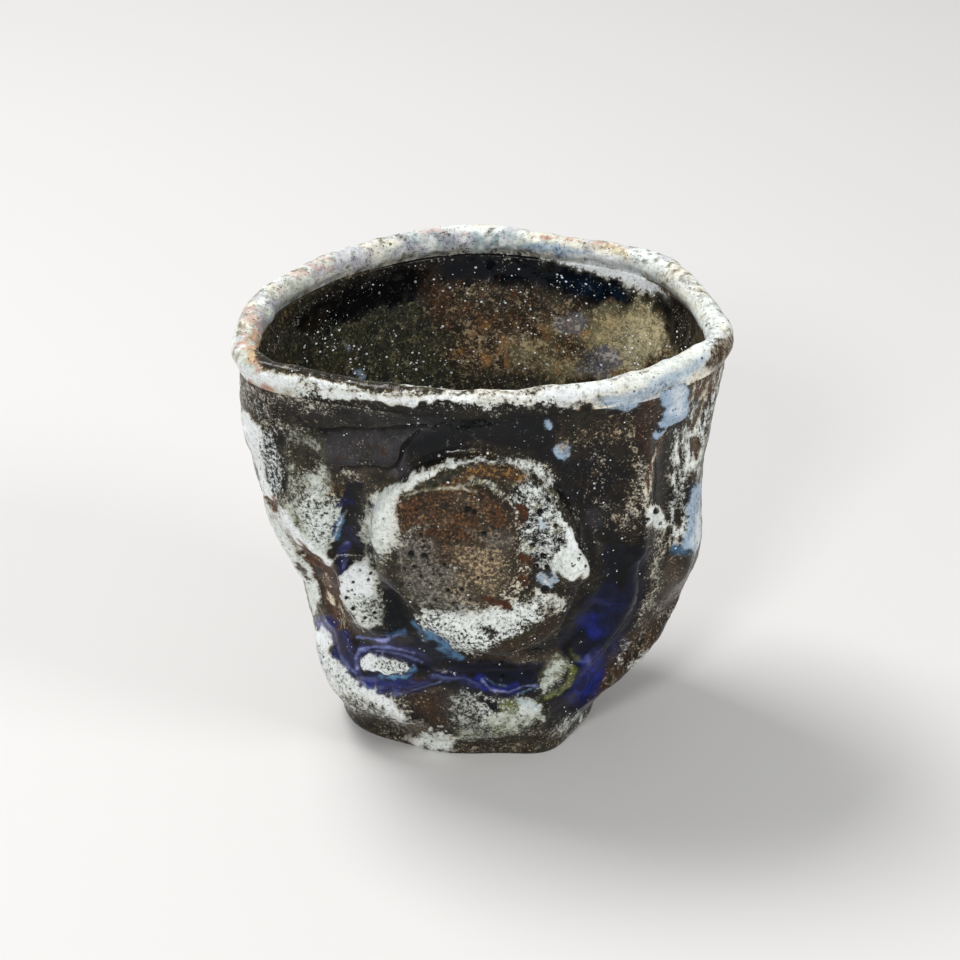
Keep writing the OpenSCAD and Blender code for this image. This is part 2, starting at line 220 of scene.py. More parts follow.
# Finishes of the glaze: the colour under and the colour over, how much of the under glaze the over glaze
# hides, how coarse its pattern is, its gloss, how far the pattern is drawn out upwards, and veins of other
# colours as (colour, share, size in mm). A finish changes only what it names.
FINISHES = {
    "jet": glaze("jet", "stone", 0.03, 0.5, 1, veins=(("umber", 0.3, 3),)),
    "ink": glaze("ink", "white", 0.01, 0.5, 1),
    # slab: grey glaze, used on the neck as a painted reflection
    "slab": glaze("slab", "stone", 0.045, 0.5, 0.9, edge=WIDE_EDGE, veins=(("bark", 0.25, 1.6),)),
    "umber": glaze("umber", "tan", 0.07, 0.5, 0.8, edge=WIDE_EDGE, veins=(("olive", 0.45, 2),)),
    "bark": glaze("bark", "sand", 0.1, 0.4, 0.7, streak=0.2, edge=WIDE_EDGE, veins=(("umber", 0.5, 1.4),)),
    "maroon": glaze("maroon", "sand", 0.08, 0.4, 0.9, streak=0.5),
    "rust_gloss": glaze("russet", "gold", 0.12, 0.2, 1, streak=0.9, veins=(("umber", 0.4, 1.2),)),
    "gilt_streak": glaze("russet", "cream", 0.42, 0.2, 1, streak=1),
    "mud_streak": glaze("mud", "stone", 0.2, 0.5, 0.8, streak=1, edge=WIDE_EDGE, veins=(("bark", 0.5, 1.5),)),
    "bark_streak": glaze("umber", "sand", 0.34, 0.3, 0.6, streak=0.7, edge=WIDE_EDGE, veins=(("bark", 0.6, 1.6),)),
    "white_streak": glaze("umber", "white", 0.66, 0.18, 0.5, streak=0.75, edge=WIDE_EDGE),
    "violet_streak": glaze("indigo", "periwinkle", 0.16, 0.2, 1, streak=1),
    "snow": glaze("stone", "snow", 0.985, 0.3, 0.6),
    "white": glaze("olive", "white", 0.94, 0.6, 0.5, edge=WIDE_EDGE),
    "bone": glaze("khaki", "bone", 0.85, 0.6, 0.4, edge=WIDE_EDGE),
    "frost": glaze("umber", "white", 0.74, 0.55, 0.45, edge=WIDE_EDGE),
    "rime": glaze("umber", "bone", 0.5, 0.5, 0.45, edge=WIDE_EDGE, veins=(("jet", 0.4, 1),)),
    "dust": glaze("umber", "tan", 0.3, 0.7, 0.5, edge=WIDE_EDGE, veins=(("bark", 0.4, 1.2),)),
    "flecks": glaze("jet", "bone", 0.34, 0.4, 0.4, streak=0.2, edge=WIDE_EDGE, veins=(("bark", 0.5, 1),)),
    "peppered": glaze("umber", "white", 0.66, 0.02, 0.45),
    "starling": glaze("navy", "white", 0.55, 0.05, 0.5),
    "lichen": glaze("olive", "mint", 0.58, 0.8, 0.3, edge=WIDE_EDGE,
                    veins=(("khaki", 0.4, 1), ("umber", 0.6, 1.6))),
    "rind": glaze("khaki", "mint", 0.88, 0.6, 0.4, edge=WIDE_EDGE),
    "ash": glaze("olive", "stone", 0.46, 0.75, 0.3, edge=WIDE_EDGE, veins=(("umber", 0.5, 0.9),)),
    "net": glaze("jet", "white", 0.52, 0.55, 0.45, edge=WIDE_EDGE, veins=(("khaki", 0.5, 1.2),)),
    "sand": glaze("mud", "tan", 0.56, 0.18, 0.2, edge=WIDE_EDGE, veins=(("bark", 0.45, 1.1),)),
    "grit": glaze("grit", "stone", 0.44, 0.13, 0.4, edge=WIDE_EDGE, veins=(("umber", 0.45, 0.9),)),
    "green_grain": glaze("deep", "khaki", 0.34, 0.7, 0.45, veins=(("umber", 0.4, 1), ("olive", 0.5, 1.6))),
    "brown_grain": glaze("umber", "sand", 0.32, 0.75, 0.4, veins=(("bark", 0.5, 1.4), ("russet", 0.35, 1))),
    "gold_grain": glaze("bark", "tan", 0.4, 0.75, 0.35, veins=(("umber", 0.5, 1.2), ("ochre", 0.3, 1))),
    "tan_grain": glaze("khaki", "straw", 0.5, 0.75, 0.3, veins=(("bark", 0.5, 1.1), ("ochre", 0.4, 1.4))),
    "bone_grain": glaze("bark", "cream", 0.46, 0.14, 0.3),
    "straw_grain": glaze("khaki", "straw", 0.7, 0.6, 0.3, veins=(("olive", 0.35, 1.2), ("khaki", 0.5, 1.6))),
    "pool": glaze("pool", "sky", 0.03, 0.5, 1, veins=(("ink", 0.5, 1.5),)),
    "disc_brown": glaze("bark", "ochre", 0.3, 0.08, 0.5, veins=(("umber", 0.5, 1.2),)),
    "clay_red": glaze("bark", "rust", 0.3, 0.1, 0.5, edge=WIDE_EDGE,
                      veins=(("umber", 0.6, 1.3), ("russet", 0.5, 0.8))),
    "rust": glaze("bark", "rust", 0.45, 0.2, 0.9),
    "gold": glaze("bark", "gold", 0.45, 0.6, 0.5, edge=WIDE_EDGE, veins=(("umber", 0.4, 0.9),)),
    "amber": glaze("amber", "rust", 0.12, 0.3, 1, veins=(("umber", 0.5, 0.5),)),
    "moss": glaze("moss", "mint", 0.35, 0.6, 0.8),
    "slate": glaze("slate", "lavender", 0.4, 0.6, 0.3),
    "olive": glaze("olive", "khaki", 0.25, 0.4, 0.6),
    "sky": glaze("steel", "sky", 0.9, 0.6, 0.8),
    "night": glaze("navy", "lilac", 0.004, 0.5, 1, flow=9,
                   bands=("jet", "ink", "jet", "navy", "ink", "navy", "jet")),
    "indigo": glaze("indigo", "lilac", 0.01, 0.5, 1, flow=4,
                    bands=("ink", "navy", "indigo", "navy", "indigo", "violet")),
    "ultramarine": glaze("ultramarine", "lilac", 0.01, 0.5, 1, flow=4,
                         bands=("jet", "navy", "ultramarine", "indigo", "navy", "ultramarine", "indigo")),
    "violet": glaze("violet", "lilac", 0.01, 0.5, 1, flow=5,
                    bands=("jet", "jet", "navy", "violet", "navy", "indigo", "violet", "periwinkle")),
    "azure": glaze("azure", "sky", 0.08, 0.3, 1, flow=3,
                   bands=("navy", "indigo", "steel", "azure", "steel", "azure")),
    "periwinkle": glaze("periwinkle", "lilac", 0.1, 0.3, 1, flow=3,
                        bands=("violet", "periwinkle", "violet", "periwinkle", "lilac")),
    "pit": dict(under="black", over="black", cover=0.01, gloss=0.6),
    "crack": dict(under="black", over="black", cover=0.01, gloss=0.9),
    "tint_salmon": dict(over="salmon", under="rust", broken=0.9),
    "tint_pink": dict(over="pink", broken=0.9),
    "tint_tan": dict(over="straw", under="ochre", broken=0.8),
    "tint_cream": dict(over="cream", under="khaki", broken=1.2),
    "tint_mauve": dict(over="lavender", under="slate", cover=0.8, coarse=0.5, broken=1.2),
    "tint_mint": dict(over="mint", under="khaki", cover=0.86, broken=1.5),
    "tint_teal": dict(over="teal", under="slate", broken=1),
    "tint_sky": dict(over="sky", under="steel"),
    "tint_khaki": dict(edge=1.5, over="khaki", under="umber", broken=0.8),
}

# The ground of each map, and the clouds of other finishes over it as
# (size of the grains in mm, seed, level, steepness, amount, finish)
OUTER_GROUND = glaze("umber", "tan", 0.22, 0.5, 0.7, 0.3)
OUTER_CLOUDS = (
    (5.0, 21, 0.38, 4, 0.85, FINISHES["jet"]),
    (6.0, 22, 0.48, 4, 0.85, FINISHES["ash"]),
    (4.0, 23, 0.48, 4, 0.85, FINISHES["mud_streak"]),
    (3.0, 24, 0.53, 4, 0.85, FINISHES["rime"]),
)
INNER_GROUND = glaze("umber", "sand", 0.34, 0.45, 0.4)
INNER_CLOUDS = (
    (5.0, 51, 0.5, 4, 0.8, dict(under="olive", over="khaki", cover=0.24)),
    (3.0, 52, 0.55, 5, 0.6, dict(under="bark", over="ochre", cover=0.25)),
    (2.0, 53, 0.6, 5, 0.5, FINISHES["jet"]),
)
LIP_GROUND = glaze("khaki", "white", 0.9, 0.55, 0.5)
LIP_CLOUDS = (
    (4.0, 81, 0.5, 5, 0.6, dict(over="cream", under="ochre", cover=0.8)),
    (2.2, 82, 0.55, 6, 0.5, dict(over="lavender", under="slate", cover=0.8)),
    (1.4, 83, 0.58, 6, 0.6, dict(under="umber", cover=0.68)),
    (0.8, 84, 0.66, 8, 0.6, dict(under="bark", over="khaki", cover=0.6)),
)

# Marks of glaze and relief, later ones over earlier ones. A line holds the finish, the form, the amount, the
# softness of the edge, its raggedness, the relief in mm where there is one, and then points. The form is area,
# taper for a line and dots for spots whose third numbers are half widths, or the half width of a plain line.
# Points are pixels of the photograph, or round the cup degrees and mm up. A line that starts with a point goes
# on with the mark above it, and one that starts with # says which part of the cup follows.
FORMS = ("area", "taper", "dots")
# painted highlight: a band of brightest white along the white glaze of the front lip
# white glaze on the inner slope at the back right, with a painted highlight in brightest white
LIP_MARKS = """
tint_mint area 0.75 8 10 236,330 256,300 290,276 330,258 344,262 310,286 280,312 268,340 264,366 300,384 300,398
250,396 234,370
tint_mint area 0.6 5 8 520,232 560,236 600,246 600,254 540,248 510,242
tint_mauve area 0.75 6 8 250,312 262,294 286,286 300,296 288,314 268,330 252,330
tint_salmon area 0.8 6 8 238,334 252,320 266,330 270,346 262,366 246,364 236,350
tint_salmon area 0.75 6 9 232,346 246,330 262,338 262,360 268,372 254,376 238,368
tint_khaki 4 0.5 4 8 244,372 260,378 276,384
tint_khaki 3 0.6 4 8 238,352 248,366
tint_tan area 0.7 5 7 246,338 260,334 268,350 260,366 248,356
tint_pink 5 0.7 4 7 246,316 256,308 264,312
snow 6 0.9 4 3 236,366 248,374 275,380 300,382 322,386
tint_salmon area 0.85 4 8 238,382 262,382 288,388 294,398 280,406 258,402 242,394
tint_khaki 4 0.6 4 7 284,394 300,402 318,398
tint_mauve area 0.75 6 8 310,268 330,256 352,250 374,246 376,262 352,274 334,286 312,286
tint_pink 6 0.75 5 8 300,272 314,266 326,264
tint_khaki 4 0.85 3 6 288,304 300,296 308,292
tint_cream 7 0.6 6 8 282,290 300,282 316,284
tint_cream 5 0.7 4 6 372,262 388,262
tint_mauve area 0.8 5 8 384,246 430,238 480,236 500,240 498,252 460,252 430,254 396,262
tint_pink 5 0.65 4 8 424,236 444,234 460,236
tint_khaki 3 0.6 3 5 394,262 412,258 424,254
tint_sky 3 0.75 3 4 394,268 408,264 420,264
tint_teal area 0.75 5 8 480,240 534,238 540,252 500,254 482,252
tint_teal area 0.5 5 8 384,242 430,233 500,232 544,237 560,246 540,252 430,254 390,260
tint_khaki 2.4 0.7 3 8 396,264 420,258 450,256
tint_sky 6 0.8 4 5 532,246 556,250 584,254
tint_salmon 1.6 0.8 2 4 534,234 560,238 590,242 622,248
tint_tan 3 0.6 3 6 590,244 612,250 626,254
snow area 0.98 3 2 566,252 596,254 628,262 652,274 668,290 660,296 638,282 606,268 578,262
white 8 0.75 5 6 676,288 696,304 712,324 716,342 704,356 680,370
rime 3 0.8 2 7 648,278 664,288 680,300
tint_khaki 3 0.6 3 6 662,286 672,296 682,304
tint_cream 6 0.7 5 7 680,292 698,306 708,318
tint_mauve 4 0.4 4 6 704,326 712,340
peppered area 0.55 4 8 690,280 712,310 721,338 714,358 706,352 708,330 698,306 682,288
white 6 0.8 4 4 590,393 620,385 650,375 680,362 702,348
tint_sky area 0.75 4 3 586,400 612,396 640,390 660,378 690,366 704,356 706,362 680,384 652,396 628,410 606,408
frost 4 0.85 4 5 300,396 330,402 374,404 440,406 500,408 560,406 584,402
rime 2.6 0.9 3 4 292,402 330,407 374,409 440,411 500,412 560,409
rime 1.5 0.85 1.6 3 342,392 374,394 420,394 474,393
snow 3.6 0.8 3 3 336,398 374,400 440,400 500,399 560,396 610,388
bark_streak area 0.9 3 5 716,342 734,334 736,356 722,368 706,372
gilt_streak area 0.85 3 5 684,388 704,378 720,366 732,352 736,362 724,376 706,388 688,396
rime 2 0.7 3 6 330,403 374,404 440,405 500,407 560,405 600,400
peppered 3.4 0.85 3 7 300,398 340,404 400,405 460,405 520,406 560,404
peppered 2 0.6 3 8 300,384 330,388 374,391 440,392 520,391 580,386
rime 2 0.75 2.5 8 262,352 272,336 300,304 328,290 382,269 432,257 488,255 540,258
rime 1.6 0.8 2 4 330,392 374,394 420,395 474,393 540,390
rime 2.4 0.7 2 5 290,390 300,384 316,388
rime 3 0.55 3 8 476,398 500,402 530,400
jet area 0.97 2.6 4.5 292,402 330,401 374,402 420,403 470,405 520,408 560,407 588,404 600,420 560,426 470,430
340,424 286,418
umber area 0.97 1.6 4 262,344 280,352 300,358 330,367 360,376 400,383 440,388 470,389 470,393 400,391 366,391
340,386 318,379 300,376 284,374 264,368 254,360
rime 2.6 0.75 2.5 7 300,406 340,407 400,408 460,410 520,413 566,412
umber area 0.7 4 5 236,404 262,404 296,410 296,424 236,420
"""

# white glaze on the inner slope at the back right, with a painted highlight in brightest white
INSIDE_MARKS = """
green_grain area 0.95 14 10 262,372 268,330 300,300 340,284 380,288 420,300 450,340 440,392 300,392
ink area 0.97 7 7 300,316 330,292 362,280 400,262 430,254 470,250 520,253 560,258 604,270 650,288 672,302 652,314
620,308 596,304 560,293 520,285 470,282 430,284 395,302 350,318 312,330
jet area 0.9 8 8 290,318 330,290 362,278 400,260 440,254 440,282 396,302 350,318 312,332
pool area 0.9 7 6 560,276 590,280 618,288 624,300 600,300 570,292
snow area 0.97 3 6 540,250 600,262 640,276 668,294 678,306 664,304 640,291 606,277 580,268 552,260 536,257
rime 2.6 0.7 3 8 600,280 630,290 656,302 668,312
rime 2 0.6 2.5 9 272,350 302,308 330,294 384,273 432,261 488,259 550,264
brown_grain area 0.9 10 10 438,286 480,283 540,292 584,304 596,322 570,342 500,348 452,336 430,312
clay_red 9 0.4 8 8 436,284 440,298 446,306
gold_grain area 0.75 12 12 470,322 540,318 560,340 540,376 470,384 452,352
tan_grain area 0.95 11 12 550,330 600,308 642,304 670,324 670,350 640,370 600,378 560,384 540,372 530,348
gold_grain area 0.6 8 9 528,334 560,332 590,340 590,356 550,362 528,352
gold_grain area 0.5 8 9 640,316 664,318 670,344 650,358 636,344
straw_grain area 0.9 8 10 600,332 640,310 668,322 664,350 632,366 598,356
lichen area 0.35 8 9 622,330 656,318 668,340 650,362 624,362
slate area 0.6 5 10 560,318 578,312 586,322 576,334 560,332
slate area 0.65 5 10 586,352 606,348 616,358 610,374 592,378 580,370
green_grain area 0.7 12 12 380,366 440,356 500,370 560,382 596,384 560,396 400,398
umber 6 0.4 6 8 560,344 584,350 590,358
straw_grain area 0.6 6 9 628,326 656,318 668,336 658,352 636,352
tan_grain area 0.6 7 10 500,344 530,336 552,346 540,362 512,362
sky 2 0.8 2 2 346,346 349,351
sky 2.4 0.8 2 3 354,374 359,378
jet area 0.9 6 5 654,292 676,296 700,318 708,344 694,360 676,348 662,318
white_streak area 0.45 5 6 668,304 684,308 698,326 700,342 690,352 680,340 674,320
"""
